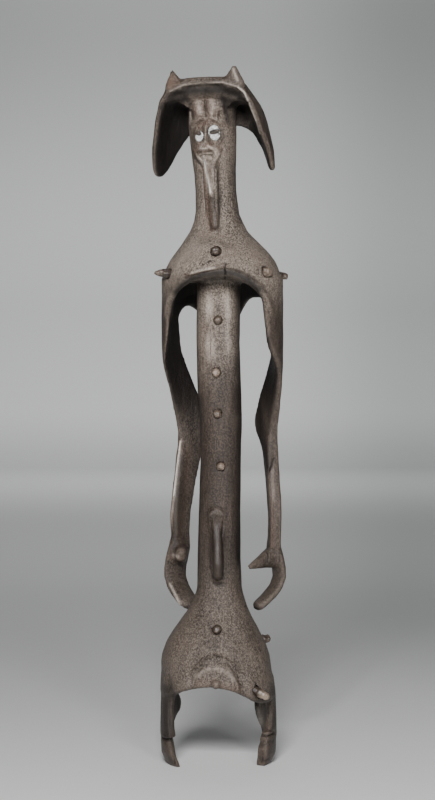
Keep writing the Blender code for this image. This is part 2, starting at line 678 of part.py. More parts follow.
def eye_cutter(half_width, half_height, back, aside=0.0, raised=0.0):
    """Cutter for the pocket of an eye plate, or for its pupil."""
    front = 0.02 * HEIGHT
    mesh = bmesh.new()
    rings = [eye_ring(half_width, half_height, level, aside, raised) for level in (back, front)]
    add_rings(mesh, rings, Matrix.Identity(4))
    return mesh


def add_eyes(figure, tree, material):
    """Metal plates let into the face, level with the carved surface round them."""
    for name, sideways, height, half_width, half_height, tilt, pupil in EYES:
        aim = Matrix.Rotation(radians(HEAD_TURN), 4, "Z")
        start = aim @ Vector((sideways, -90, height))
        start.x += HEAD_SHIFT
        look = aim @ Vector((0, 1, 0))
        seat, normal = tree.ray_cast(start * UNIT, look)[:2]
        outward = (normal - look).normalized()
        facing = outward.to_track_quat("Z", "Y").to_matrix().to_4x4() @ Matrix.Rotation(radians(tilt), 4, "Z")
        place = Matrix.Translation(seat + outward * INLAY_PROUD) @ facing
        plate = mesh_object(name, eye_plate(half_width, half_height))
        plate.matrix_world = place
        plate.data.materials.append(material)
        aside, raised, wide, high = pupil
        hole = eye_cutter(half_width * wide, half_height * high, -2 * INLAY_THICKNESS, half_width * aside,
                          half_height * raised)
        pupil_cutter = mesh_object("pupil_" + name, hole, cutter=True)
        pupil_cutter.matrix_world = place
        cut(plate, pupil_cutter)
        seat_cut = eye_cutter(half_width + FIT_GAP, half_height + FIT_GAP, -INLAY_THICKNESS - FIT_GAP)
        pocket = mesh_object("pocket_" + name, seat_cut, cutter=True)
        pocket.matrix_world = place
        cut(figure, pocket)


def centre_everything():
    """Moves all objects level so that the middle of the whole figure's box stands over the origin."""
    bpy.context.view_layer.update()
    corners = [item.matrix_world @ Vector(corner) for item in bpy.data.objects if not item.hide_render
               for corner in item.bound_box]
    middle_x = (min(point.x for point in corners) + max(point.x for point in corners)) / 2
    middle_y = (min(point.y for point in corners) + max(point.y for point in corners)) / 2
    back = Matrix.Translation((-middle_x, -middle_y, 0))
    for item in bpy.data.objects:
        item.matrix_world = back @ item.matrix_world


def build():
    clear_scene()
    figure = carve_figure()
    figure.data.materials.clear()
    figure.data.materials.append(surface_material("dark_wood", (0.115, 0.085, 0.07), 0.6))
    view = bpy.context.evaluated_depsgraph_get()
    view.update()
    tree = BVHTree.FromObject(figure, view)
    add_pegs(figure, tree, surface_material("peg_wood", (0.17, 0.125, 0.10), 0.6))
    add_eyes(figure, tree, surface_material("eye_metal", (0.72, 0.74, 0.74), 0.35, 1.0))
    figure.data.shade_smooth()
    figure.data.set_sharp_from_angle(angle=radians(50))
    centre_everything()


build()
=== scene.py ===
"""Looks of the carved standing figure: its fine carving, wood, pegs, eye inlays, floor, light and camera.

Metres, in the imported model's frame. Fine carving is placed as the camera sees it, in pixels of the
435 x 800 picture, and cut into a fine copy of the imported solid, so each stroke sits on the carved surface.
Left and right are the figure's own, so its right side is on the left of the picture.
"""

import itertools
import math

import bmesh
import bpy
import numpy as np
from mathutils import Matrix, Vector
from mathutils.bvhtree import BVHTree


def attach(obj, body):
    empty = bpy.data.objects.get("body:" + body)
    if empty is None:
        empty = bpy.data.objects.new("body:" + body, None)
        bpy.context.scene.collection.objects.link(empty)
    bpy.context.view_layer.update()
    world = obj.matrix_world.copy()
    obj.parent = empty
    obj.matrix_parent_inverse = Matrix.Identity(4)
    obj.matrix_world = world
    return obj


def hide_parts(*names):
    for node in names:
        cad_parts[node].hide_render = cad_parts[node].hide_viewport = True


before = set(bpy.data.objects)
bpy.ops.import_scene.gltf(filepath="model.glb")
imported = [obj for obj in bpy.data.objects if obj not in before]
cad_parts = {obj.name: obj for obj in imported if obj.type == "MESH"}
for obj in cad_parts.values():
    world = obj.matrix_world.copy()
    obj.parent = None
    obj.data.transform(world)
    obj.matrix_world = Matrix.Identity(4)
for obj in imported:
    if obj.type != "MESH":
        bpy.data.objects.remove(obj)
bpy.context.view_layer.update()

MM = 0.001
SEED = 7
TINY = 1e-6

# Upright axis that the figure is carved round
AXIS_X = -0.0013
AXIS_Y = -0.0002

# Camera: level with the figure's middle and a little to the figure's left
CAMERA_AZIMUTH = math.radians(6)
CAMERA_DISTANCE = 3.2
CAMERA_HEIGHT = 0.494
PICTURE_WIDE = 435
PICTURE_HIGH = 800
PIXELS_PER_METRE = 731.5
AXIS_COLUMN = 218.5
SENSOR_MM = 36

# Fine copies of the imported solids: joined corners, voxel size, rounds of smoothing and most triangles
JOIN_DISTANCE = 0.02 * MM
SMOOTH_IN = 0.55
SMOOTH_OUT = -0.57
FIGURE_VOXEL = 2.0 * MM
FIGURE_ROUNDS = 9
FIGURE_TRIANGLES = 112000
PEG_VOXEL = 0.75 * MM
PEG_ROUNDS = 4
EYE_VOXEL = 0.4 * MM
EYE_ROUNDS = 3

# Openness: rays sent from each vertex, how far they look, how far off the surface they start,
# and how open the farthest hit counts
OPEN_RAYS = 18
OPEN_REACH = 70 * MM
OPEN_LIFT = 0.7 * MM
OPEN_HIT = 0.8

# Soft borders of the figure's regions: distances from the axis, then heights
COLUMN_BORDER = (44 * MM, 48 * MM)
INNER_BORDER = (46 * MM, 56 * MM)
HOOD_BORDER = (48 * MM, 56 * MM)
ARM_BORDER = (50 * MM, 60 * MM)
ARM_FOOT = (0.20, 0.24)
ARM_TOP = (0.66, 0.60)
INNER_FOOT = (0.44, 0.52)
HEAD_FOOT = (0.740, 0.750)
HOOD_FOOT = (0.79, 0.83)
SOLE_BORDER = (0.5 * MM, 6 * MM)
PEG_BORDER = (14 * MM, 9 * MM)

# Tool marks and grain: depth in millimetres, size of the marks, upright squeeze and random number
TOOL_MARKS = [(0.34, 11 * MM, 0.45, 1), (0.20, 5 * MM, 0.45, 2)]
GRAIN_MARKS = (0.30, 3.2 * MM, 0.12, 3)
GRAIN_ON_BODY = 0.3
POLISH_CALM = 0.75

# Carving: strength on the face, and how much wider the dark of a crack is than its cut
FACE_RELIEF = 1.35
CRACK_SPREAD = 1.2
# Finer mesh near strokes: how many pixels past their width, and how often edges are split
FACE_REFINING = (1.5, 2)
BODY_REFINING = (0.5, 1)
CRACK_REFINING = (0.8, 2)

# Where the masks begin and end: facing the camera and the axis, openness, and bulge in millimetres
FACING_SPAN = (0.0, 0.3)
INWARD_SPAN = (0.05, -0.45)
HOLLOW_SPAN = (0.25, 0.85)
EDGE_SPAN = (0.15, 0.8)
CREVICE_SPAN = (-0.2, -1.2)
OPEN_ROUNDS = 3
BROAD_ROUNDS = 10
# Near pegs the surface counts as less bulged and more open
PEG_LEVELS = 0.9
PEG_OPENS = 0.5


def srgb(red, green, blue):
    """Linear colour of a screen colour given from 0 to 255."""
    parts = [value / 255 for value in (red, green, blue)]
    return tuple(part / 12.92 if part <= 0.04045 else ((part + 0.055) / 1.055) ** 2.4 for part in parts)


# Camera and picture

def camera_axes():
    """The camera's place and its right and forward directions."""
    ahead = Vector((-math.sin(CAMERA_AZIMUTH), math.cos(CAMERA_AZIMUTH), 0))
    right = Vector((math.cos(CAMERA_AZIMUTH), math.sin(CAMERA_AZIMUTH), 0))
    place = Vector((AXIS_X, AXIS_Y, CAMERA_HEIGHT)) - ahead * CAMERA_DISTANCE
    return place, right, ahead


def add_camera():
    place, _, ahead = camera_axes()
    data = bpy.data.cameras.new("camera")
    camera = bpy.data.objects.new("camera", data)
    bpy.context.scene.collection.objects.link(camera)
    camera.location = place
    camera.rotation_euler = ahead.to_track_quat("-Z", "Y").to_euler()
    data.sensor_width = SENSOR_MM
    data.lens = PIXELS_PER_METRE * CAMERA_DISTANCE * SENSOR_MM / PICTURE_HIGH
    data.shift_x = -(AXIS_COLUMN - PICTURE_WIDE / 2) / PICTURE_HIGH
    bpy.context.scene.camera = camera


def picture_places(points):
    """Where points fall in the picture, in pixels from its upper left corner."""
    place, right, ahead = camera_axes()
    offset = points - np.array(place)
    depth = offset @ np.array(ahead)
    focal = PIXELS_PER_METRE * CAMERA_DISTANCE
    across = AXIS_COLUMN + focal * (offset @ np.array(right)) / depth
    down = PICTURE_HIGH / 2 - focal * offset[:, 2] / depth
    return np.stack([across, down], axis=1)


# Mesh helpers

def smooth_step(low, high, value):
    share = np.clip((value - low) / (high - low), 0, 1)
    return share * share * (3 - 2 * share)


def lumps(points, size, seed):
    """Smooth random lumps of about one size, between -1 and 1, from a sine hash of each grid corner."""
    seed_shift = 7.31
    corner_mix = np.array((127.1, 311.7, 74.7))
    hash_scale = 43758.5453
    grid = points / size + seed * seed_shift
    cell = np.floor(grid)
    part = grid - cell
    ease = part * part * (3 - 2 * part)
    total = np.zeros(len(points))
    for corner in itertools.product((0, 1), repeat=3):
        mixed = (cell + corner) @ corner_mix
        value = np.modf(np.abs(np.sin(mixed + seed) * hash_scale))[0]
        weight = np.prod(np.where(np.array(corner) == 1, ease, 1 - ease), axis=1)
        total += value * weight
    return total * 2 - 1


def read_points(mesh):
    points = np.zeros(len(mesh.vertices) * 3)
    mesh.vertices.foreach_get("co", points)
    return points.reshape(-1, 3)


def read_normals(mesh):
    normals = np.zeros(len(mesh.vertices) * 3)
    mesh.vertices.foreach_get("normal", normals)
    return normals.reshape(-1, 3)


def read_edges(mesh):
    edges = np.zeros(len(mesh.edges) * 2, dtype=np.int64)
    mesh.edges.foreach_get("vertices", edges)
    return edges.reshape(-1, 2)


def write_points(mesh, points):
    mesh.vertices.foreach_set("co", points.astype(np.float32).ravel())
    mesh.update()


def write_mask(mesh, name, values):
    attribute = mesh.attributes.new(name, "FLOAT", "POINT")
    attribute.data.foreach_set("value", values.astype(np.float32))


def smoothed(values, edges, rounds, share=0.5):
    """Values of the vertices, each drawn towards the mean of its neighbours."""
    values = values.copy()
    count = np.bincount(edges.ravel(), minlength=len(values))
    count = np.maximum(count, 1)
    for _ in range(rounds):
        for column in range(values.shape[1]):
            line = values[:, column]
            total = np.bincount(edges[:, 0], weights=line[edges[:, 1]], minlength=len(values))
            total += np.bincount(edges[:, 1], weights=line[edges[:, 0]], minlength=len(values))
            values[:, column] = line + (total / count - line) * share
    return values


def apply_modifiers(item):
    evaluated = item.evaluated_get(bpy.context.evaluated_depsgraph_get())
    fresh = bpy.data.meshes.new_from_object(evaluated)
    item.modifiers.clear()
    item.data = fresh


def fine_copy(name, node_name, voxel, rounds, most_triangles=None):
    """A fine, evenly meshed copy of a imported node, smoothed without shrinking."""
    mesh = bmesh.new()
    mesh.from_mesh(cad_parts[node_name].data)
    bmesh.ops.remove_doubles(mesh, verts=mesh.verts, dist=JOIN_DISTANCE)
    data = bpy.data.meshes.new(name)
    mesh.to_mesh(data)
    mesh.free()
    item = bpy.data.objects.new(name, data)
    bpy.context.scene.collection.objects.link(item)
    remesh = item.modifiers.new("remesh", "REMESH")
    remesh.mode = "VOXEL"
    remesh.voxel_size = voxel
    apply_modifiers(item)
    edges = read_edges(item.data)
    points = read_points(item.data)
    for _ in range(rounds):
        points = smoothed(points, edges, 1, SMOOTH_IN)
        points = smoothed(points, edges, 1, SMOOTH_OUT)
    write_points(item.data, points)
    if most_triangles:
        item.data.calc_loop_triangles()
        thin = item.modifiers.new("thin", "DECIMATE")
        thin.ratio = min(1, most_triangles / len(item.data.loop_triangles))
        apply_modifiers(item)
    return item


def line_distance(places, line):
    """Distance in pixels from each place to a line of straight pieces."""
    nearest = np.full(len(places), np.inf)
    for start, end in zip(line, line[1:]):
        start, run = np.array(start, float), np.array(end, float) - np.array(start, float)
        share = np.clip((places - start) @ run / max(run @ run, TINY), 0, 1)
        nearest = np.minimum(nearest, np.linalg.norm(places - start - share[:, None] * run, axis=1))
    return nearest


# Strokes on the face: line in the picture, half width in pixels, height in millimetres (negative cuts in)
FACE_STROKES = {
    "forehead_groove_top": ([(205.4, 101), (205.7, 109)], 1.3, -2.0),
    "forehead_groove_bottom": ([(205.7, 109), (206.6, 117)], 2.3, -2.2),
    "right_temple_groove": ([(190.8, 111), (192.6, 119.5)], 1.3, -2.2),
    "forehead_cut_inner": ([(214.0, 111.5), (214.4, 116.5)], 0.9, -1.5),
    "forehead_cut_outer": ([(219.2, 112), (219.6, 120)], 1.1, -1.8),
    "forehead_rib": ([(216.8, 112), (217.0, 119)], 1.2, 1.2),
    "forehead_right_swell": ([(197.5, 103), (196.0, 113)], 3.2, 0.9),
    "forehead_left_swell": ([(210.5, 102), (211.0, 113)], 3.2, 0.9),
    "right_brow": ([(190.6, 125.5), (195.5, 121.5), (201.0, 118.6)], 1.2, 1.5),
    "left_brow": ([(209.5, 117.6), (213.5, 119.2), (218.0, 121.4), (221.6, 124.6)], 1.1, 1.3),
    "right_brow_hollow": ([(191.0, 129.5), (195.0, 125.5), (200.5, 122.4), (206.0, 119.8)], 1.5, -1.7),
    "left_brow_hollow": ([(209.4, 120.6), (213.5, 122.2), (217.6, 124.6), (220.4, 128.0)], 1.1, -1.4),
    "nose_bridge": ([(206.4, 122), (205.4, 131)], 1.3, 1.8),
    "nose_ridge": ([(205.4, 131), (205.2, 140)], 1.4, 1.2),
    "right_nostril": ([(205.2, 140), (202.0, 147), (199.6, 149.4)], 1.8, 1.7),
    "left_nostril": ([(205.4, 140), (209.0, 145.5), (212.4, 148.6)], 1.8, 1.5),
    "nose_ball": ([(205.6, 143), (206.0, 147.6)], 3.0, 1.0),
    "right_nose_groove": ([(202.2, 128), (202.8, 134), (202.0, 141)], 1.1, -1.3),
    "left_nose_groove": ([(207.4, 135), (208.6, 140.5)], 1.0, -1.2),
    "right_cheek_hollow": ([(194.2, 133), (194.0, 139), (196.6, 145)], 1.3, -1.0),
    "left_cheek_hollow": ([(221.0, 131), (220.6, 139), (217.0, 143.2)], 1.2, -1.0),
    "muzzle_top_line": (
        [(196.8, 153.6), (200.0, 151.3), (204.0, 150.2),
         (208.0, 150.5), (212.0, 151.3), (214.4, 153.4)], 0.9, -1.8,
    ),
    "upper_lip": ([(198.8, 154.8), (203.0, 153.6), (208.0, 153.2), (212.4, 152.9)], 0.9, 1.5),
    "mouth_line": ([(199.6, 156.6), (204.0, 155.4), (209.0, 154.9), (213.0, 155.0)], 0.7, -1.2),
    "left_muzzle_fold": (
        [(213.2, 147.4), (217.2, 150.2), (219.2, 153.4), (217.8, 157.4), (215.4, 160.4)], 1.1, 1.7,
    ),
    "right_muzzle_fold": ([(197.4, 150.4), (195.6, 153.4), (197.2, 157.6), (201.4, 161.6)], 1.1, 1.2),
    "lower_lip": ([(203.6, 156.8), (204.6, 163.0)], 1.6, 1.3),
    "right_jaw_groove": ([(190.2, 151), (193.0, 156.6), (197.6, 161.2), (201.4, 165.4)], 1.2, -2.2),
    "left_jaw_groove": ([(222.6, 150), (220.8, 156.0), (217.8, 161.0), (216.4, 168.0)], 1.1, -2.0),
    "right_rod_line": ([(202.4, 166), (203.6, 185), (205.6, 210)], 0.9, -0.7),
    "left_rod_line": ([(215.4, 168), (214.6, 185), (215.2, 208)], 0.9, -1.3),
}
# Strokes on the hood's rim and horns
HOOD_STROKES = {
    "rim_top": (
        [(170.5, 91), (176.5, 87.2), (184, 84.8), (195, 83.8),
         (205, 83.2), (222, 82), (230, 84.6), (238, 87)], 0.9, 0.9,
    ),
    "rim_left": (
        [(238, 87), (244, 92), (247, 97), (249.5, 103),
         (252, 110), (255, 118), (257.5, 125), (260, 134)], 0.9, 1.0,
    ),
    "crown_upper_line": ([(186, 80.6), (200, 79.4), (222, 78.2)], 0.6, -0.9),
    "crown_lower_line": ([(196, 81.8), (212, 80.6), (228, 80.8)], 0.5, -0.7),
    "left_flap_outer_line": ([(247, 91), (254, 101), (259.5, 115), (264, 131), (269, 150)], 0.6, -0.7),
    "left_flap_inner_line": ([(243, 86), (252, 96), (259, 108), (265.5, 127)], 0.6, -0.5),
    "right_flap_outer_line": (
        [(164.5, 93), (158, 104), (155.2, 118), (153.6, 140), (153.0, 160)], 0.7, -0.7,
    ),
    "right_flap_inner_line": ([(168.5, 92), (161.6, 103), (158.6, 118), (156.4, 140)], 0.6, -0.6),
    "left_flap_nick": ([(246.8, 102.8), (250.4, 102.2)], 0.6, -1.6),
    "left_horn_ridge": ([(233.2, 69), (237.4, 80)], 0.9, 1.0),
    "right_horn_ridge": ([(171.0, 72.5), (176.0, 78.5), (181.4, 82.6)], 0.8, 0.9),
}
# Strokes elsewhere on the front
BODY_STROKES = {
    "right_forearm_ridge": ([(180.6, 441), (177.0, 470), (172.0, 510), (168.9, 541)], 1.2, 1.5),
    "left_forearm_ridge": ([(271.6, 470), (272.8, 500), (271.6, 540)], 1.4, 0.8),
    "chest_rim": (
        [(187, 277.4), (200, 273.8), (212, 271.4), (225, 269.4),
         (238, 272.2), (251.6, 278.8), (261.6, 287.2)], 1.3, 0.9,
    ),
    "chest_rim_groove": (
        [(185.4, 274.4), (200, 270.4), (212, 268.2), (225, 266.2),
         (239.6, 269), (253.6, 275.6), (264, 284)], 1.4, -1.0,
    ),
    "navel_arch": (
        [(209.4, 516.6), (211.6, 511.8), (216.4, 509.8), (221.2, 511.2), (224, 516.4)], 1.8, 0.8,
    ),
    "navel_arch_hollow": ([(212, 519), (217, 517.0), (221.4, 519)], 1.6, -0.7),
    "right_navel_groove": ([(210.2, 521), (211.6, 532), (212.2, 556), (211.8, 576)], 1.0, -1.4),
    "left_navel_groove": ([(223.6, 521), (222.6, 535), (224.4, 556), (224.2, 576)], 1.0, -1.6),
    "navel_end_hollow": ([(212.4, 583), (217.4, 586.4), (223, 584.6)], 1.8, -1.8),
    "left_crescent_hollow": (
        [(216, 657.5), (224, 659.5), (230, 664), (235, 671),
         (238.4, 678), (241.2, 686), (242.4, 690)], 2.6, -1.0,
    ),
    "right_crescent_hollow": (
        [(188.4, 687), (192, 676), (197, 668), (203, 662), (208.6, 658.5), (216, 657.5)], 2.8, -0.7,
    ),
    "crescent": (
        [(196, 677), (203, 671.4), (210, 669.2), (220, 669.2),
         (228, 673), (233.4, 679), (238, 687)], 2.3, 1.5,
    ),
    "right_hip_hollow": ([(168, 675), (169.6, 686), (172.2, 693)], 2.4, -1.4),
    "left_leg_step": ([(255.4, 703), (262, 706.4), (268.4, 704)], 1.2, -1.8),
    "left_panel_inner_line": ([(255.6, 704), (255.8, 718), (258.4, 727), (261.6, 730)], 0.8, -1.0),
    "left_panel_outer_line": ([(267.4, 706), (267.0, 718), (264.8, 728), (261.6, 730)], 0.9, -1.8),
    "left_panel": ([(261, 710), (260.8, 722)], 3.0, 1.3),
    "left_ankle_groove": ([(257.6, 733.0), (263, 735.6), (268.6, 736.2), (274, 733.6)], 0.9, -2.2),
    "left_ankle_rib": ([(258.4, 731.0), (264, 733.2), (271, 732.6)], 1.0, 1.2),
    "right_ankle_groove": ([(162.4, 737.6), (166.6, 739.8), (172.6, 738.6)], 0.9, -2.0),
    "right_ankle_rib": ([(163.0, 735.4), (167.0, 737.6), (172.0, 736.6)], 0.9, 1.0),
    "right_leg_groove": ([(169.6, 697), (169.4, 712), (170.2, 726)], 1.0, -1.2),
    "right_wrist_groove": ([(169.6, 563.4), (174.0, 565.6), (180.6, 563.6)], 2.2, -0.7),
    "right_palm_ridge": ([(169.2, 583), (174.2, 596), (180.8, 605.4)], 0.8, 0.9),
    "left_wrist_groove": ([(264.6, 567.6), (268.6, 566.0), (272, 563.0)], 1.2, -0.7),
    "left_foot_groove": ([(260, 758), (264, 761.4), (269, 759)], 0.8, -1.3),
    "right_foot_groove": ([(173.6, 757), (175, 763)], 0.8, -1.2),
}
# Cracks: line in the picture, half width in pixels, depth in millimetres
CRACKS = {
    "chest_rim": ([(225.6, 263), (224.8, 268), (225.4, 273), (224.9, 279)], 0.55, -2.6),
    "left_forearm": ([(274.8, 457.5), (272.4, 462), (271.6, 466), (268.9, 472)], 0.50, -2.2),
    "left_palm": ([(266.8, 552), (268.4, 556), (267.8, 561)], 0.45, -1.8),
    "left_hip": ([(256.0, 684), (256.6, 688), (256.8, 692)], 0.7, -2.6),
    "left_shoulder": ([(258.4, 267.0), (259.0, 271), (257.6, 275)], 0.40, -1.3),
    "chest": ([(206.0, 262.5), (213.0, 260.2)], 0.36, -0.9),
    "pelvis_top": ([(248.0, 607.0), (244.0, 606.4)], 0.40, -0.8),
}


def hollows(points, normals, triangles):
    """How open the surface is, from 0 in deep hollows to 1, and whether the camera sees it."""
    tree = BVHTree.FromPolygons(points.tolist(), triangles.tolist())
    randoms = np.random.default_rng(SEED)
    starts = points + normals * OPEN_LIFT
    openness = np.zeros(len(points))
    for _ in range(OPEN_RAYS):
        spread = randoms.normal(size=points.shape)
        spread /= np.linalg.norm(spread, axis=1, keepdims=True)
        ways = normals + spread
        ways /= np.maximum(np.linalg.norm(ways, axis=1, keepdims=True), TINY)
        for at, (start, way) in enumerate(zip(starts.tolist(), ways.tolist())):
            distance = tree.ray_cast(start, way, OPEN_REACH)[3]
            openness[at] += 1 if distance is None else OPEN_HIT * distance / OPEN_REACH
    place, _, _ = camera_axes()
    seen = np.zeros(len(points))
    for at, start in enumerate(starts.tolist()):
        way = place - Vector(start)
        seen[at] = 0 if tree.ray_cast(start, way)[0] else 1
    return openness / OPEN_RAYS, seen


def figure_masks(points, normals, toward, seen):
    """Soft masks of the figure's regions, with the distances from its axis and the heights."""
    offset = points[:, :2] - np.array((AXIS_X, AXIS_Y))
    radius = np.linalg.norm(offset, axis=1)
    outward = np.einsum("ij,ij->i", normals[:, :2], offset) / np.maximum(radius, MM)
    height = points[:, 2]
    facing = smooth_step(*FACING_SPAN, normals @ toward) * seen
    inner = smooth_step(*INWARD_SPAN, outward) * smooth_step(*INNER_BORDER, radius)
    return {
        "radius": radius,
        "height": height,
        "facing": facing,
        "inner": inner * smooth_step(*INNER_FOOT, height),
        "head": facing * smooth_step(*HEAD_FOOT, height) * (1 - smooth_step(*COLUMN_BORDER, radius)),
        "hood": smooth_step(*HOOD_FOOT, height) * smooth_step(*HOOD_BORDER, radius),
    }


def refine(item, strokes, toward, reach, rounds):
    """Splits the edges that lie near strokes on the side that faces the camera."""
    for _ in range(rounds):
        mesh = item.data
        edges = read_edges(mesh)
        points = read_points(mesh)
        normals = read_normals(mesh)
        middle = points[edges].mean(axis=1)
        facing = normals[edges].mean(axis=1) @ toward > 0.0
        places = picture_places(middle)
        near = np.zeros(len(edges), bool)
        for line, width, _ in strokes.values():
            near |= line_distance(places, line) < width + reach
        work = bmesh.new()
        work.from_mesh(mesh)
        work.edges.ensure_lookup_table()
        chosen = [work.edges[int(at)] for at in np.nonzero(near & facing)[0]]
        bmesh.ops.subdivide_edges(work, edges=chosen, cuts=1, use_grid_fill=True)
        bmesh.ops.triangulate(work, faces=[face for face in work.faces if len(face.verts) > 4])
        work.to_mesh(mesh)
        work.free()


def carve(points, places, strokes, mask, direction):
    """Adds strokes to the surface along one direction."""
    height = np.zeros(len(points))
    for line, width, rise in strokes.values():
        height += rise * MM * np.exp(-(line_distance(places, line) / width) ** 2)
    return points + direction * (height * mask)[:, None]


def figure_triangles(mesh):
    mesh.calc_loop_triangles()
    triangles = np.zeros(len(mesh.loop_triangles) * 3, dtype=np.int64)
    mesh.loop_triangles.foreach_get("vertices", triangles)
    return triangles.reshape(-1, 3)


def near_pegs(points):
    """Soft mask of the places round the pegs."""
    near = np.zeros(len(points))
    for name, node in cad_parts.items():
        if name.startswith("peg_"):
            centre = read_points(node.data).mean(axis=0)
            near = np.maximum(near, smooth_step(*PEG_BORDER, np.linalg.norm(points - centre, axis=1)))
    return near


# Painted places: line in the picture, half width in pixels, strength
POLISHED = {
    "forehead_right": ([(197, 102), (196, 114)], 4.5, 0.6),
    "forehead_left": ([(211, 101), (211.5, 113)], 4.5, 0.6),
    "right_brow": ([(191, 124.5), (200, 118.5)], 1.6, 0.7),
    "left_brow": ([(209, 118), (221, 124)], 1.6, 0.7),
    "nose_ridge": ([(206, 122), (205, 140)], 1.5, 0.8),
    "nose_tip": ([(200, 149), (205, 141), (211, 148)], 3.0, 1.0),
    "lower_lip": ([(203.6, 155), (205, 163)], 2.4, 1.0),
    "left_muzzle_fold": ([(213, 147.4), (219, 153), (215.4, 160.4)], 1.5, 1.0),
    "rod": ([(205.5, 163), (206.5, 185), (208, 205), (212, 228)], 4.0, 1.0),
    "right_forearm_ridge": ([(180.6, 441), (177, 470), (172, 510), (169, 541)], 2.4, 1.0),
    "right_forearm_face": ([(188, 450), (183, 500), (178, 545)], 4.0, 0.35),
    "left_forearm_ridge": ([(272, 470), (274, 500), (272.6, 545)], 2.4, 0.7),
    "navel": ([(217, 528), (218, 552), (217.6, 575)], 5.0, 0.6),
    "chest_rim": ([(187, 276), (200, 272.6), (212, 270)], 2.4, 0.9),
    "torso_top": ([(209, 332), (211, 358)], 9, 0.6),
    "right_thumb": ([(172, 556), (178, 558)], 3.0, 0.8),
    "right_horn": ([(170, 80), (178, 83)], 4.0, 0.4),
}
# Painted highlights: glints along rims, ridges, brows, nose, lips, the rod, the hands and the torso
PAINTED_HIGHLIGHTS = {
    "rim_top": ([(170.5, 91), (184, 84.8), (205, 83.2), (222, 82), (238, 87)], 1.0, 0.5),
    "rim_left_top": ([(238, 87), (244, 92), (248, 100)], 1.0, 0.9),
    "rim_left_middle": ([(248, 100), (253, 112), (256, 121)], 0.9, 0.55),
    "rim_left_bottom": ([(256, 121), (260, 134)], 0.8, 0.25),
    "right_brow": ([(191, 123), (196, 119.5), (200, 118)], 1.8, 0.25),
    "left_brow": ([(211, 117.5), (215, 118.5), (220, 122)], 1.8, 0.25),
    "muzzle_left": ([(214.4, 150), (217, 155)], 2.2, 0.55),
    "mouth": ([(202, 156.6), (210, 157.6)], 2.0, 0.5),
    "chin": ([(204, 161), (207, 164)], 2.4, 0.8),
    "left_horn": ([(233.2, 69), (237.4, 80)], 1.4, 0.7),
    "crescent": (
        [(196, 677), (203, 671.4), (210, 669.2), (220, 669.2), (228, 673), (233.4, 679)], 2.4, 0.28,
    ),
    "left_panel": ([(260.6, 708), (260.4, 722)], 3.6, 0.7),
    "chest_right": ([(176, 264), (196, 247)], 8, 0.25),
    "navel_arch": ([(211, 514), (216, 511), (222, 514)], 1.8, 0.12),
    "right_palm": ([(170, 584), (180, 604)], 1.2, 0.7),
    "torso_top_right": ([(207, 294), (209, 312)], 3.5, 0.8),
    "torso_top_left": ([(227, 296), (229, 322)], 2.6, 0.7),
    "torso_middle_right": ([(208, 336), (211, 356)], 5.0, 0.7),
    "torso_middle_left": ([(226, 330), (230, 350)], 3.0, 0.5),
    "right_temple": ([(190, 112), (189.6, 124)], 1.2, 0.6),
    "forehead_right": ([(197, 103), (200, 112)], 3.0, 0.4),
    "forehead_left": ([(211, 101), (212, 112)], 3.0, 0.4),
    "lower_lip": ([(203.4, 156), (205, 163.5)], 1.6, 0.9),
    "right_nostril": ([(199.6, 149), (204.6, 142)], 1.6, 0.7),
    "nose_ridge": ([(205.4, 126), (205.2, 139)], 0.9, 0.5),
    "left_muzzle_fold": (
        [(213.4, 147.4), (217.4, 150.2), (219.2, 153.4), (217.6, 157.6), (215.4, 160.4)], 1.5, 0.6,
    ),
    "upper_lip": ([(199.4, 155.2), (204, 153.6), (212, 153.2)], 0.8, 0.6),
    "rod_main_strip": ([(204.6, 160), (206.4, 172), (208.8, 184), (210.6, 193)], 1.9, 1.0),
    "rod_second_strip": ([(213.0, 171), (214.0, 188)], 1.2, 0.35),
    "nose_base": ([(203.6, 143), (200.0, 149), (206, 148.6)], 1.5, 0.8),
    "left_nostril": ([(207.6, 146), (213.0, 149)], 1.3, 0.7),
    "right_muzzle_fold": ([(198.6, 157), (202.6, 162.6)], 1.4, 0.6),
    "right_forearm_top": ([(180.6, 441), (177.0, 470), (174.0, 496)], 0.9, 0.9),
    "right_forearm_bottom": ([(174.0, 496), (168.9, 541)], 0.9, 0.4),
    "right_thumb": ([(173.6, 555), (178, 557)], 1.6, 0.5),
    "left_forearm": ([(272.6, 470), (273.4, 500)], 1.0, 0.35),
    "chest_rim": ([(191, 273), (203, 269.5), (214, 267.6)], 1.3, 0.75),
}
WARM = {
    "brow_and_nose": ([(205, 112), (205, 150)], 15, 0.5),
    "right_cheek": ([(197, 145), (194, 152)], 4, 0.9),
    "left_cheek": ([(215, 142), (220, 148)], 3.5, 0.9),
    "right_eye_corner": ([(199, 127), (206, 121)], 3.5, 0.8),
    "right_horn": ([(170, 78), (172, 86)], 4.5, 1.0),
    "rod": ([(208, 170), (210, 215)], 4, 0.5),
    "crescent_bottom": ([(198, 682), (236, 690)], 6, 0.4),
}
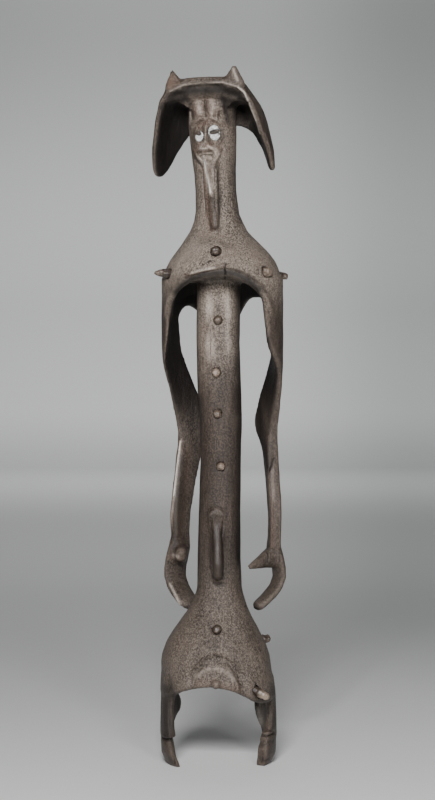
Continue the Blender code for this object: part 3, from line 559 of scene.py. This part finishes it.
# Mostly painted shade in grooves and sockets, under the chest rim and the navel's end and along the rod; the
# chest lines and the navel are darker wood
SHADE_AND_STAINS = {
    "shadow_under_chest_rim": (
        [(178, 292), (188, 285), (200, 281.5), (212, 279.5),
         (225, 279), (238, 281.5), (248, 288), (262, 298)], 1.6, 0.6,
    ),
    "right_eye_corner": ([(199.4, 134), (200.4, 137.4)], 3.2, 1.0),
    "left_eye_lid": ([(209.6, 131.6), (217, 133)], 3.4, 1.0),
    "right_jaw": ([(192, 150), (197, 160), (201, 165)], 1.3, 0.7),
    "chest_line_right": ([(192, 250), (200, 244), (209, 240)], 1.3, 0.4),
    "chest_line_left": ([(222, 243), (231, 246), (239, 253)], 1.2, 0.35),
    "chest_line_middle": ([(198, 258), (208, 262), (214, 260)], 1.0, 0.35),
    "chest_line_low_left": ([(230, 263), (240, 259), (250, 264)], 1.0, 0.3),
    "chest_line_low_right": ([(184, 262), (190, 256), (196, 256)], 1.2, 0.3),
    "right_horn_tip": ([(170.4, 70.8), (171.2, 73)], 1.4, 0.8),
    "left_temple": ([(223, 98), (228, 122)], 3.0, 0.9),
    "right_leg_inside": ([(176, 697), (179, 712), (175, 726)], 3.5, 0.8),
    "shadow_under_navel_end": ([(214, 583), (222, 584)], 1.8, 0.8),
    "rod_right_edge": ([(202.6, 166), (203.8, 185), (206.2, 212)], 1.1, 0.6),
    "right_temple_groove": ([(190.6, 112), (192.6, 119)], 1.1, 0.7),
    "rod_bottom": ([(212.6, 199), (214, 212), (216.6, 228)], 4.8, 0.7),
    "right_cheek": ([(194, 131), (193, 138), (197, 144)], 1.6, 0.5),
    "left_cheek": ([(221.4, 130), (222, 138), (218, 144)], 1.8, 0.5),
    "right_nose_side": ([(202.6, 130), (202.8, 140)], 1.0, 0.5),
    "left_nose_side": ([(208, 134), (209, 141)], 0.9, 0.5),
    "rod_left_edge": ([(217.2, 166), (217.8, 190), (218.4, 212)], 1.1, 0.6),
    "navel": ([(217.6, 526), (218, 577)], 5.0, 0.55),
    "mouth": ([(197.2, 153.0), (204, 150.2), (214, 153.2)], 0.7, 0.5),
    "forehead_groove": ([(205.4, 102), (206, 116)], 1.3, 0.7),
}
SHADED = {
    "hood_ceiling": (
        [(170, 98), (178, 92.5), (190, 91), (205, 90), (225, 90), (238, 95), (246, 104)], 5.5, 1.0,
    ),
    "hood_right_corner": ([(163, 108), (172, 101), (186, 99)], 5.0, 1.0),
    "right_temple": ([(186, 98.5), (190, 104), (188, 112)], 2.0, 0.7),
    "hood_left_corner": ([(226, 100), (238, 105), (246, 116)], 6.0, 0.9),
    "chest_band": (
        [(176, 292), (183, 284), (194, 277.5), (206, 274),
         (225, 272), (238, 274.5), (248, 280.5), (258, 290)], 5.0, 1.0,
    ),
    "left_arm_inside": ([(266, 340), (262, 370), (258, 400), (260.6, 440), (266.0, 466)], 6.0, 1.0),
    "torso_left_side": ([(239.6, 290), (240.4, 400), (240, 560)], 5.5, 0.7),
    "torso_right_side": ([(198, 380), (197.6, 560)], 2.5, 0.4),
    "right_forearm_face": ([(182, 460), (178, 510), (174, 545)], 5.0, 0.5),
    "navel_right_side": ([(214, 532), (214, 575)], 4.0, 0.6),
    "navel_left_side": ([(222, 532), (222, 575)], 3.5, 0.7),
    "torso_top": ([(216, 296), (218, 312)], 3.0, 0.5),
    "right_leg": ([(167, 690), (167, 734)], 9, 0.75),
    "left_leg": ([(276, 690), (277, 750)], 6, 0.6),
    "left_hip": ([(256, 694), (262, 704)], 5, 0.5),
    "neck_foot": ([(200, 241), (216, 240), (228, 246)], 4, 0.3),
    "neck_left_side": ([(234, 165), (235, 190), (239, 222)], 5.5, 0.45),
}


def painted(places, rows):
    """Soft mask of painted places: the strongest of the rows at each vertex."""
    total = np.zeros(len(places))
    for line, width, strength in rows.values():
        total = np.maximum(total, strength * np.exp(-(line_distance(places, line) / width) ** 2))
    return total


# Dusty bloom by height on the figure's middle parts, then that of its outer plates and how clean their
# inner faces are
DUST_BY_HEIGHT = [
    (0, 0.05), (0.08, 0.1), (0.11, 0.32), (0.20, 0.35), (0.24, 0.16), (0.30, 0.05), (0.40, 0.03),
    (0.50, 0.06), (0.54, 0.28), (0.60, 0.8), (0.66, 0.92), (0.71, 1.0), (0.76, 0.68), (0.80, 0.55),
    (0.86, 0.48), (0.95, 0.2),
]
ARM_DUST = 0.12
HOOD_DUST = 0.16
INNER_CLEAN = 0.85


def dust_mask(masks):
    """How dusty each vertex is, from 0 to 1."""
    heights, amounts = zip(*DUST_BY_HEIGHT)
    dust = np.interp(masks["height"], heights, amounts)
    arms = smooth_step(*ARM_BORDER, masks["radius"]) * smooth_step(*ARM_FOOT, masks["height"])
    arms = arms * smooth_step(*ARM_TOP, masks["height"])
    dust = dust * (1 - arms) + ARM_DUST * arms
    dust = dust * (1 - masks["hood"]) + HOOD_DUST * masks["hood"]
    return dust * (1 - INNER_CLEAN * masks["inner"])


def marks(points, depth, size, upright, seed):
    """Random marks of one kind, drawn out upright, as heights in millimetres."""
    return depth * lumps(points * np.array((1, 1, upright)), size, seed)


def roughness(points, masks):
    """Tool marks, and grain that shows most on the hood, in millimetres."""
    tool = sum(marks(points, *row) for row in TOOL_MARKS)
    grain_share = GRAIN_ON_BODY + (1 - GRAIN_ON_BODY) * masks["hood"]
    return tool + marks(points, *GRAIN_MARKS) * grain_share


def make_figure():
    """The figure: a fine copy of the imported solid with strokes, tool marks and masks for its wood."""
    _, _, ahead = camera_axes()
    toward = -np.array(ahead)
    item = fine_copy("carved_figure", "figure", FIGURE_VOXEL, FIGURE_ROUNDS, FIGURE_TRIANGLES)
    refine(item, FACE_STROKES, toward, *FACE_REFINING)
    refine(item, {**BODY_STROKES, **HOOD_STROKES}, toward, *BODY_REFINING)
    refine(item, CRACKS, toward, *CRACK_REFINING)
    mesh = item.data
    points = read_points(mesh)
    normals = read_normals(mesh)
    edges = read_edges(mesh)
    places = picture_places(points)
    openness, seen = hollows(points, normals, figure_triangles(mesh))
    openness, seen = smoothed(np.stack([openness, seen], axis=1), edges, OPEN_ROUNDS).T
    masks = figure_masks(points, normals, toward, seen)

    polish = painted(places, POLISHED) * masks["facing"]
    above_floor = smooth_step(*SOLE_BORDER, masks["height"])
    rough = roughness(points, masks) * (1 - POLISH_CALM * polish) * above_floor
    points = points + normals * (rough * MM)[:, None]
    points = carve(points, places, FACE_STROKES, masks["head"] * FACE_RELIEF, toward)
    points = carve(points, places, HOOD_STROKES, masks["facing"] * masks["hood"], normals)
    points = carve(points, places, BODY_STROKES, masks["facing"], normals)
    points = carve(points, places, CRACKS, masks["facing"], normals)
    write_points(mesh, points)

    broad = smoothed(points, edges, BROAD_ROUNDS)
    normals = read_normals(mesh)
    bulge = np.einsum("ij,ij->i", points - broad, normals) / MM
    by_peg = near_pegs(points)
    bulge = bulge * (1 - PEG_LEVELS * by_peg)
    openness = openness + PEG_OPENS * by_peg * (1 - openness)
    crack_rows = {name: (line, width * CRACK_SPREAD, 1.0) for name, (line, width, _) in CRACKS.items()}
    crack = painted(places, crack_rows)
    shaded = painted(places, SHADED) * masks["facing"]
    dark = np.maximum(painted(places, SHADE_AND_STAINS), crack) * masks["facing"]
    write_mask(mesh, "polish", polish)
    write_mask(mesh, "dust", dust_mask(masks))
    # Painted shade: darker where rays from a vertex soon meet the carving, in hollows and between parts
    write_mask(mesh, "hollow_shade", 1 - smooth_step(*HOLLOW_SPAN, openness))
    # Painted shade on inward faces of the hood, arms and plates, and along the shaded rows
    write_mask(mesh, "inner", np.maximum(masks["inner"], shaded))
    write_mask(mesh, "edge", smooth_step(*EDGE_SPAN, bulge))
    # Darker in concave creases, along cracks and on the darkened rows: painted shade, with some dark stains
    write_mask(mesh, "crevice_shade_and_stain", np.maximum(smooth_step(*CREVICE_SPAN, bulge), dark))
    # Painted highlights where the pale rows lie
    write_mask(mesh, "pale", painted(places, PAINTED_HIGHLIGHTS) * masks["facing"])
    write_mask(mesh, "warm", painted(places, WARM) * masks["facing"])
    mesh.shade_smooth()
    return item


# Materials

class Graph:
    """A material's nodes, built one at a time."""

    def __init__(self, name):
        self.material = bpy.data.materials.new(name)
        self.material.use_nodes = True
        self.tree = self.material.node_tree
        self.shader = self.tree.nodes["Principled BSDF"]
        self.coordinates = self.tree.nodes.new("ShaderNodeTexCoord").outputs["Object"]

    def put(self, socket, value):
        """Links an output to a socket or sets its plain value."""
        if isinstance(value, bpy.types.NodeSocket):
            self.tree.links.new(value, socket)
        elif isinstance(value, tuple) and len(value) == 3 and socket.type == "RGBA":
            socket.default_value = (*value, 1)
        else:
            socket.default_value = value

    def mask(self, name):
        """A mask that the mesh carries on its vertices."""
        node = self.tree.nodes.new("ShaderNodeAttribute")
        node.attribute_name = name
        return node.outputs["Fac"]

    def noise(self, size_mm, stretch=(1, 1, 1), detail=3, roughness=0.55):
        """Noise with marks of about one size in millimetres, made longer by the stretch."""
        mapping = self.tree.nodes.new("ShaderNodeMapping")
        self.put(mapping.inputs["Vector"], self.coordinates)
        mapping.inputs["Scale"].default_value = [1000 / (size_mm * part) for part in stretch]
        node = self.tree.nodes.new("ShaderNodeTexNoise")
        self.put(node.inputs["Vector"], mapping.outputs["Vector"])
        node.inputs["Scale"].default_value = 1.0
        node.inputs["Detail"].default_value = detail
        node.inputs["Roughness"].default_value = roughness
        return node.outputs["Fac"]

    def step(self, value, low, high, start=0.0, end=1.0):
        """Goes softly from start to end while the value goes from low to high."""
        node = self.tree.nodes.new("ShaderNodeMapRange")
        node.interpolation_type = "SMOOTHSTEP"
        self.put(node.inputs["Value"], value)
        node.inputs["From Min"].default_value = low
        node.inputs["From Max"].default_value = high
        node.inputs["To Min"].default_value = start
        node.inputs["To Max"].default_value = end
        return node.outputs["Result"]

    def math(self, kind, first, second=0.0):
        node = self.tree.nodes.new("ShaderNodeMath")
        node.operation = kind
        self.put(node.inputs[0], first)
        self.put(node.inputs[1], second)
        return node.outputs[0]

    def mix(self, factor, first, second, kind="MIX"):
        node = self.tree.nodes.new("ShaderNodeMix")
        node.data_type = "RGBA"
        node.blend_type = kind
        self.put(node.inputs["Factor"], factor)
        self.put(node.inputs["A"], first)
        self.put(node.inputs["B"], second)
        return node.outputs["Result"]

    def lay(self, colour, mask_name, share, tone):
        """Lays a tone over a colour where a mask is, up to a share."""
        return self.mix(self.math("MULTIPLY", self.mask(mask_name), share), colour, tone)

    def bump(self, height, distance_mm, strength, under=None):
        node = self.tree.nodes.new("ShaderNodeBump")
        node.inputs["Strength"].default_value = strength
        node.inputs["Distance"].default_value = distance_mm * MM
        self.put(node.inputs["Height"], height)
        if under is not None:
            self.put(node.inputs["Normal"], under)
        return node.outputs["Normal"]


# Tones of the wood
WOOD_DARK = srgb(36, 28, 24)
WOOD_BROWN = srgb(54, 43, 37)
WOOD_STREAK = srgb(31, 24, 21)
WOOD_WARM = srgb(98, 68, 52)
WOOD_GRANULE = srgb(104, 88, 77)
WOOD_BLOOM = srgb(184, 171, 158)
WOOD_SOFT_BLOOM = srgb(126, 113, 103)
WOOD_GRIT = srgb(34, 27, 23)
WOOD_FIBRE = srgb(26, 20, 17)
# Painted highlight tones: pale, and a glint where the highlight mask is strongest
WOOD_PALE = srgb(186, 174, 163)
WOOD_GLINT = srgb(232, 224, 216)
WARM_SHARE = 0.6
FIBRE_SHARE = 0.3

# Tones that the figure's masks lay over the wood, in order: strongest share and colour
# The hollow, inner and crevice layers are painted shade, the crevice layer also dark stains; edge and polish
# are worn and oiled wood
WOOD_LAYERS = {
    "edge": (0.25, srgb(120, 106, 95)),
    "polish": (0.6, srgb(84, 66, 56)),
    "hollow_shade": (0.85, srgb(22, 17, 15)),
    "inner": (0.92, srgb(20, 16, 14)),
    "crevice_shade_and_stain": (0.85, srgb(17, 13, 11)),
}

# Sheen of the wood: specular level, and how much polish and hollows change the roughness
WOOD_SPECULAR = 0.3
POLISH_SMOOTHS = 0.22
HOLLOW_ROUGHENS = 0.3
SMOOTHEST = 0.2
POLISH_FLATTENS = 0.8


def wood_material():
    """Dark oiled hardwood with upright grain, dusty granular bloom, polished places and painted shade in
    hollows.
    """
    graph = Graph("dark_wood")
    patches = graph.noise(size_mm=34, stretch=(1, 1, 2.0), detail=4)
    streaks = graph.noise(size_mm=4.2, stretch=(1, 1, 9), detail=4, roughness=0.6)
    fibres = graph.noise(size_mm=1.1, stretch=(1, 1, 12), detail=4, roughness=0.6)
    granules = graph.noise(size_mm=2.2, stretch=(1, 1, 1.2), detail=6, roughness=0.8)
    grit = graph.noise(size_mm=1.3, stretch=(1, 1, 1.2), detail=2, roughness=0.6)
    colour = wood_colour(graph, patches, streaks, fibres, granules, grit)
    graph.put(graph.shader.inputs["Base Color"], colour)

    polish = graph.mask("polish")
    dull = graph.step(granules, 0.3, 0.7, 0.36, 0.6)
    rough = graph.math("SUBTRACT", dull, graph.math("MULTIPLY", polish, POLISH_SMOOTHS))
    rough = graph.math("ADD", rough, graph.math("MULTIPLY", graph.mask("hollow_shade"), HOLLOW_ROUGHENS))
    graph.put(graph.shader.inputs["Roughness"], graph.math("MAXIMUM", rough, SMOOTHEST))
    graph.shader.inputs["Specular IOR Level"].default_value = WOOD_SPECULAR

    calm = graph.math("SUBTRACT", 1.0, graph.math("MULTIPLY", polish, POLISH_FLATTENS))
    normal = graph.bump(graph.math("MULTIPLY", streaks, calm), distance_mm=1.0, strength=0.5)
    normal = graph.bump(graph.math("MULTIPLY", granules, calm), distance_mm=1.4, strength=0.7, under=normal)
    normal = graph.bump(graph.math("MULTIPLY", grit, calm), distance_mm=0.7, strength=0.6, under=normal)
    graph.put(graph.shader.inputs["Normal"], normal)
    return graph.material


def wood_colour(graph, patches, streaks, fibres, granules, grit):
    """The wood's colour: grain, dusty bloom, the masks' tones with painted shade, and painted highlights
    last.
    """
    dust = graph.mask("dust")
    pale = graph.mask("pale")
    colour = graph.mix(graph.step(patches, 0.35, 0.65), WOOD_DARK, WOOD_BROWN)
    colour = graph.mix(graph.step(streaks, 0.36, 0.66), colour, WOOD_STREAK)
    colour = graph.lay(colour, "warm", WARM_SHARE, WOOD_WARM)
    colour = graph.mix(graph.step(granules, 0.44, 0.62, 0, 0.4), colour, WOOD_GRANULE)
    bloom = graph.math("MULTIPLY", graph.step(granules, 0.42, 0.58), dust)
    bloom = graph.math("MULTIPLY", bloom, graph.step(patches, 0.25, 0.55, 0.6, 1.0))
    colour = graph.mix(bloom, colour, WOOD_BLOOM)
    soft_bloom = graph.math("MULTIPLY", graph.step(patches, 0.30, 0.62, 0.15, 0.7), dust)
    colour = graph.mix(soft_bloom, colour, WOOD_SOFT_BLOOM)
    colour = graph.mix(graph.step(grit, 0.47, 0.36, 0, 0.85), colour, WOOD_GRIT)
    fibre = graph.math("MULTIPLY", graph.step(fibres, 0.5, 0.66), FIBRE_SHARE)
    colour = graph.mix(fibre, colour, WOOD_FIBRE)
    for mask_name, (share, tone) in WOOD_LAYERS.items():
        colour = graph.lay(colour, mask_name, share, tone)
    # Painted highlights, broken by the granules, and a painted glint where they are strongest
    pale_share = graph.math("MULTIPLY", pale, graph.step(granules, 0.34, 0.6, 0.45, 1))
    colour = graph.mix(pale_share, colour, WOOD_PALE)
    return graph.mix(graph.step(pale, 0.7, 1.0), colour, WOOD_GLINT)


# Tones of the pegs
PEG_DARK = srgb(42, 34, 29)
PEG_BROWN = srgb(62, 51, 44)
PEG_END = srgb(150, 132, 117)
PEG_EDGE = srgb(140, 124, 110)
PEG_FIBRE = srgb(42, 33, 29)
PEG_EDGE_SHARE = 0.3


def peg_material():
    """Whittled peg wood: dark sides and a paler worn end."""
    graph = Graph("peg_wood")
    fibres = graph.noise(size_mm=0.9, detail=4, roughness=0.6)
    patches = graph.noise(size_mm=5)
    colour = graph.mix(graph.step(patches, 0.35, 0.65), PEG_DARK, PEG_BROWN)
    pale_share = graph.math("MULTIPLY", graph.mask("tip"), graph.step(patches, 0.3, 0.7, 0.6, 1.0))
    colour = graph.mix(pale_share, colour, PEG_END)
    colour = graph.lay(colour, "edge", PEG_EDGE_SHARE, PEG_EDGE)
    colour = graph.mix(graph.step(fibres, 0.52, 0.68, 0, 0.5), colour, PEG_FIBRE)
    graph.put(graph.shader.inputs["Base Color"], colour)
    graph.put(graph.shader.inputs["Roughness"], graph.step(fibres, 0.3, 0.7, 0.3, 0.5))
    graph.put(graph.shader.inputs["Normal"], graph.bump(fibres, distance_mm=0.4, strength=0.6))
    return graph.material


# Tones of the eye inlays, and how metallic they look
EYE_WHITE = srgb(178, 181, 180)
EYE_GREY = srgb(132, 131, 127)
EYE_SCRATCH = srgb(120, 116, 110)
EYE_DARK_TONE = srgb(52, 44, 40)
EYE_METALLIC = 0.4


def eye_material():
    """Dull white sheet metal, scratched, and darker in listed places."""
    graph = Graph("eye_metal")
    graph.shader.inputs["Metallic"].default_value = EYE_METALLIC
    blotch = graph.noise(size_mm=2.2, detail=4, roughness=0.6)
    scratch = graph.noise(size_mm=0.5, stretch=(1, 6, 1), roughness=0.6)
    colour = graph.mix(graph.step(blotch, 0.4, 0.7), EYE_WHITE, EYE_GREY)
    colour = graph.mix(graph.step(scratch, 0.6, 0.75, 0, 0.5), colour, EYE_SCRATCH)
    colour = graph.mix(graph.mask("tarnish"), colour, EYE_DARK_TONE)
    graph.put(graph.shader.inputs["Base Color"], colour)
    graph.put(graph.shader.inputs["Roughness"], graph.step(blotch, 0.3, 0.7, 0.34, 0.55))
    graph.put(graph.shader.inputs["Normal"], graph.bump(scratch, distance_mm=0.12, strength=0.5))
    return graph.material


# Pegs and eyes

# How pale each peg's worn end is
PEG_PALENESS = {
    "peg_chest": 0.05,
    "peg_right_shoulder": 0.3,
    "peg_left_shoulder_front": 0.5,
    "peg_left_shoulder_back": 0.15,
    "peg_torso_1": 0.3,
    "peg_torso_2": 0.85,
    "peg_torso_3": 0.45,
    "peg_torso_4": 0.75,
    "peg_pelvis": 0.1,
    "peg_left_hip": 0.15,
    "peg_left_thigh": 0.85,
}
# Whittling of the pegs: depth in millimetres, size of the facets and step of the random number
PEG_FACETS = [(1.0, 4.4 * MM, 0), (0.4, 2.0 * MM, 20)]
# Swelling that fills the socket's rim and thinning of the whole peg, in millimetres
PEG_FOOT_SWELL = 0.7
PEG_THINNING = 0.2
# Shares of a peg's length, from its buried end: whittled part, start and end of the foot, worn end
WHITTLED_SPAN = (0.35, 0.6)
FOOT_START = (0.30, 0.42)
FOOT_END = (0.70, 0.52)
TIP_START = 0.62
TIP_END = 0.92
TIP_SPREAD = 0.3
PEG_EDGE_SPAN = (0.05, 0.3)
PEG_BROAD_ROUNDS = 5
# Dents of the eye inlays: depth in millimetres, size and random number
EYE_DENTS = (0.12, 2.5 * MM, 5)


def make_peg(node_name, material, seed):
    """A whittled copy of a packed peg with a paler end and a foot that fills its socket's rim."""
    item = fine_copy(node_name + "_whittled", node_name, PEG_VOXEL, PEG_ROUNDS)
    mesh = item.data
    points = read_points(mesh)
    normals = read_normals(mesh)
    middle = points.mean(axis=0)
    axis = np.linalg.svd(points - middle, full_matrices=False)[2][0]
    offset = middle[:2] - np.array((AXIS_X, AXIS_Y))
    axis = axis if axis[:2] @ offset > 0 else -axis
    along = (points - middle) @ axis
    share = (along - along.min()) / (along.max() - along.min())
    whittle = sum(depth * lumps(points, size, seed + step) for depth, size, step in PEG_FACETS)
    foot = smooth_step(*FOOT_START, share) * smooth_step(*FOOT_END, share)
    rise = whittle * smooth_step(*WHITTLED_SPAN, share) + PEG_FOOT_SWELL * foot - PEG_THINNING
    points = points + normals * (rise * MM)[:, None]
    write_points(mesh, points)
    broad = smoothed(points, read_edges(mesh), PEG_BROAD_ROUNDS)
    bulge = np.einsum("ij,ij->i", points - broad, read_normals(mesh)) / MM
    pale = PEG_PALENESS[node_name]
    spread = TIP_SPREAD * pale
    write_mask(mesh, "tip", pale * smooth_step(TIP_START - spread, TIP_END - spread, share))
    write_mask(mesh, "edge", smooth_step(*PEG_EDGE_SPAN, bulge))
    mesh.shade_smooth()
    mesh.materials.append(material)
    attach(item, "root")
    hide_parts(node_name)


# Darker places on the eye inlays: pupil slits and edges
EYE_DARK_PLACES = {
    "left_pupil": ([(211, 131.6), (216, 131.4), (220, 134.0)], 1.7, 1.0),
    "left_eye_upper_edge": ([(218.8, 128.6), (220.8, 133)], 1.5, 0.8),
    "left_eye_inner_edge": ([(208.6, 134.2), (210.4, 138.6), (212.6, 141.2)], 1.1, 0.9),
    "left_eye_inner_corner": ([(207.8, 132), (210, 131.4)], 0.9, 0.8),
    "right_pupil": ([(195.6, 133.4), (197.6, 133.2)], 1.8, 1.0),
    "left_eye_lower_edge": ([(216.6, 142.6), (220.4, 139.4)], 1.1, 0.6),
    "right_eye_outer_edge": ([(192.6, 138.4), (195.0, 142.4)], 0.8, 0.5),
}


def make_eye(node_name, material):
    """A slightly dented copy of a packed eye inlay, with its darker places."""
    item = fine_copy(node_name + "_inlay", node_name, EYE_VOXEL, EYE_ROUNDS)
    mesh = item.data
    points = read_points(mesh)
    normals = read_normals(mesh)
    depth, size, seed = EYE_DENTS
    dents = depth * lumps(points, size, seed)
    points = points + normals * (dents * MM)[:, None]
    write_points(mesh, points)
    write_mask(mesh, "tarnish", painted(picture_places(points), EYE_DARK_PLACES))
    mesh.shade_smooth()
    mesh.materials.append(material)
    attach(item, "root")
    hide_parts(node_name)


# Floor and light

# Floor and wall, in metres as the camera sees them: away from it past the figure, and up
FLOOR_ROWS = (-4.0, -1.0, 1.0, 4.0)
FLOOR_HALF_WIDTH = 8.0
WALL_AWAY = 15.0
WALL_BEND = 1.2
WALL_TOP = 7.0
BEND_STEPS = 12
# Floor and wall tones with light falloff painted in: brightest near the camera, darker far back and high up
# the wall
FLOOR_NEAR = srgb(233, 234, 233)
FLOOR_MIDDLE = srgb(196, 197, 197)
FLOOR_FAR = srgb(190, 191, 191)
WALL_LOW = srgb(214, 215, 215)
WALL_HIGH = srgb(152, 154, 153)
MIDDLE_SPAN = (0.0, 3.0)
FAR_SPAN = (3.0, 10.0)
WALL_FOOT_SPAN = (0.0, 0.45)
WALL_SPAN = (1.4, 3.6)
MOTTLE_RISE = 1.03
FLOOR_ROUGHNESS = 0.9
# Painted shade on the right side: where it begins and ends, as a share of the distance from the camera,
# and how far past the figure it fades in
RIGHT_SHADE_TONE = (0.71, 0.72, 0.72)
RIGHT_BORDER = (0.01, 0.085)
RIGHT_FADE = (0.5, 2.2)


def floor_profile():
    """The floor and wall seen from the side: each point's way away from the camera, and up."""
    bend_start = WALL_AWAY - WALL_BEND
    profile = [(away, 0.0) for away in (*FLOOR_ROWS, bend_start)]
    for at in range(1, BEND_STEPS + 1):
        angle = math.pi / 2 * at / BEND_STEPS
        profile.append((bend_start + WALL_BEND * math.sin(angle), WALL_BEND - WALL_BEND * math.cos(angle)))
    profile.append((WALL_AWAY, WALL_TOP))
    return profile


def add_floor():
    """Pale floor that bends up into a plain wall far back, with painted shade in the distance and to the
    right.
    """
    mesh = bmesh.new()
    rows = [
        [mesh.verts.new((side * FLOOR_HALF_WIDTH, away, up)) for side in (-1, 0, 1)]
        for away, up in floor_profile()
    ]
    for lower, upper in zip(rows, rows[1:]):
        for at in (0, 1):
            mesh.faces.new((lower[at], lower[at + 1], upper[at + 1], upper[at]))
    data = bpy.data.meshes.new("floor")
    mesh.to_mesh(data)
    mesh.free()
    data.shade_smooth()
    floor = bpy.data.objects.new("floor", data)
    floor.rotation_euler.z = CAMERA_AZIMUTH
    bpy.context.scene.collection.objects.link(floor)
    data.materials.append(floor_material())


def floor_material():
    """Pale paper with painted light falloff: its tones change away from the camera, up the wall and to the
    right.
    """
    graph = Graph("floor_paper")
    axes = graph.tree.nodes.new("ShaderNodeSeparateXYZ")
    graph.put(axes.inputs[0], graph.coordinates)
    aside, away, up = axes.outputs
    reach = graph.math("ADD", away, CAMERA_DISTANCE)
    right_shade = graph.step(graph.math("DIVIDE", aside, reach), *RIGHT_BORDER)
    right_shade = graph.math("MULTIPLY", right_shade, graph.step(away, *RIGHT_FADE))
    mottle = graph.noise(size_mm=60)
    near = graph.mix(mottle, FLOOR_NEAR, tuple(part * MOTTLE_RISE for part in FLOOR_NEAR))
    ground = graph.mix(graph.step(away, *MIDDLE_SPAN), near, FLOOR_MIDDLE)
    ground = graph.mix(graph.step(away, *FAR_SPAN), ground, FLOOR_FAR)
    wall = graph.mix(graph.step(up, *WALL_SPAN), WALL_LOW, WALL_HIGH)
    colour = graph.mix(graph.step(up, *WALL_FOOT_SPAN), ground, wall)
    colour = graph.mix(right_shade, colour, RIGHT_SHADE_TONE, "MULTIPLY")
    graph.put(graph.shader.inputs["Base Color"], colour)
    graph.shader.inputs["Roughness"].default_value = FLOOR_ROUGHNESS
    return graph.material


def studio_place(aside, away, up):
    """A place given as the camera sees it: to its right, away from it past the figure, and up."""
    _, right, ahead = camera_axes()
    return right * aside + ahead * away + Vector((0, 0, up))


# Lights: place and aim as studio_place takes them, width and height, watts, and spread in degrees.
# A tall soft key stands beside the camera with a weak fill to its right; the rest light the wall and the
# floor behind the figure.
LIGHTS = {
    "key": ((-0.20, -3.14, 1.70), (0, 0, 0.45), (0.7, 0.9), 150, 180),
    "fill": ((0.74, -3.10, 1.60), (0, 0, 0.45), (0.45, 0.8), 25, 180),
    "wall": ((0, 10.0, 6.5), (0, 15.0, 1.8), (3.0, 3.0), 450, 180),
    "far_floor": ((0, 7.6, 5.0), (0, 7.61, 0), (4.0, 4.0), 61, 180),
    "middle_floor": ((0, 3.4, 3.8), (0, 4.6, 0), (2.4, 2.4), 36, 130),
}
STUDIO_TONE = (0.62, 0.63, 0.64, 1)
STUDIO_STRENGTH = 0.06


def add_light(name, place, aim, size, power, spread):
    """Soft area light, its size given as wide and high."""
    data = bpy.data.lights.new(name, "AREA")
    data.shape = "RECTANGLE"
    data.size, data.size_y = size
    data.energy = power
    data.spread = math.radians(spread)
    lamp = bpy.data.objects.new(name, data)
    bpy.context.scene.collection.objects.link(lamp)
    lamp.location = studio_place(*place)
    lamp.rotation_euler = (studio_place(*aim) - lamp.location).to_track_quat("-Z", "Y").to_euler()


def add_lights():
    """All the lights of the table, and a weak even light from all round."""
    for name, row in LIGHTS.items():
        add_light(name, *row)
    world = bpy.data.worlds.new("studio")
    world.use_nodes = True
    background = world.node_tree.nodes["Background"]
    background.inputs["Color"].default_value = STUDIO_TONE
    background.inputs["Strength"].default_value = STUDIO_STRENGTH
    bpy.context.scene.world = world


add_camera()
add_floor()
add_lights()
figure = make_figure()
figure.data.materials.append(wood_material())
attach(figure, "root")
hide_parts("figure")
peg_wood = peg_material()
eye_metal = eye_material()
for number, name in enumerate(sorted(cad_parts)):
    if name.startswith("peg_"):
        make_peg(name, peg_wood, number)
    elif name.startswith("eye_"):
        make_eye(name, eye_metal)
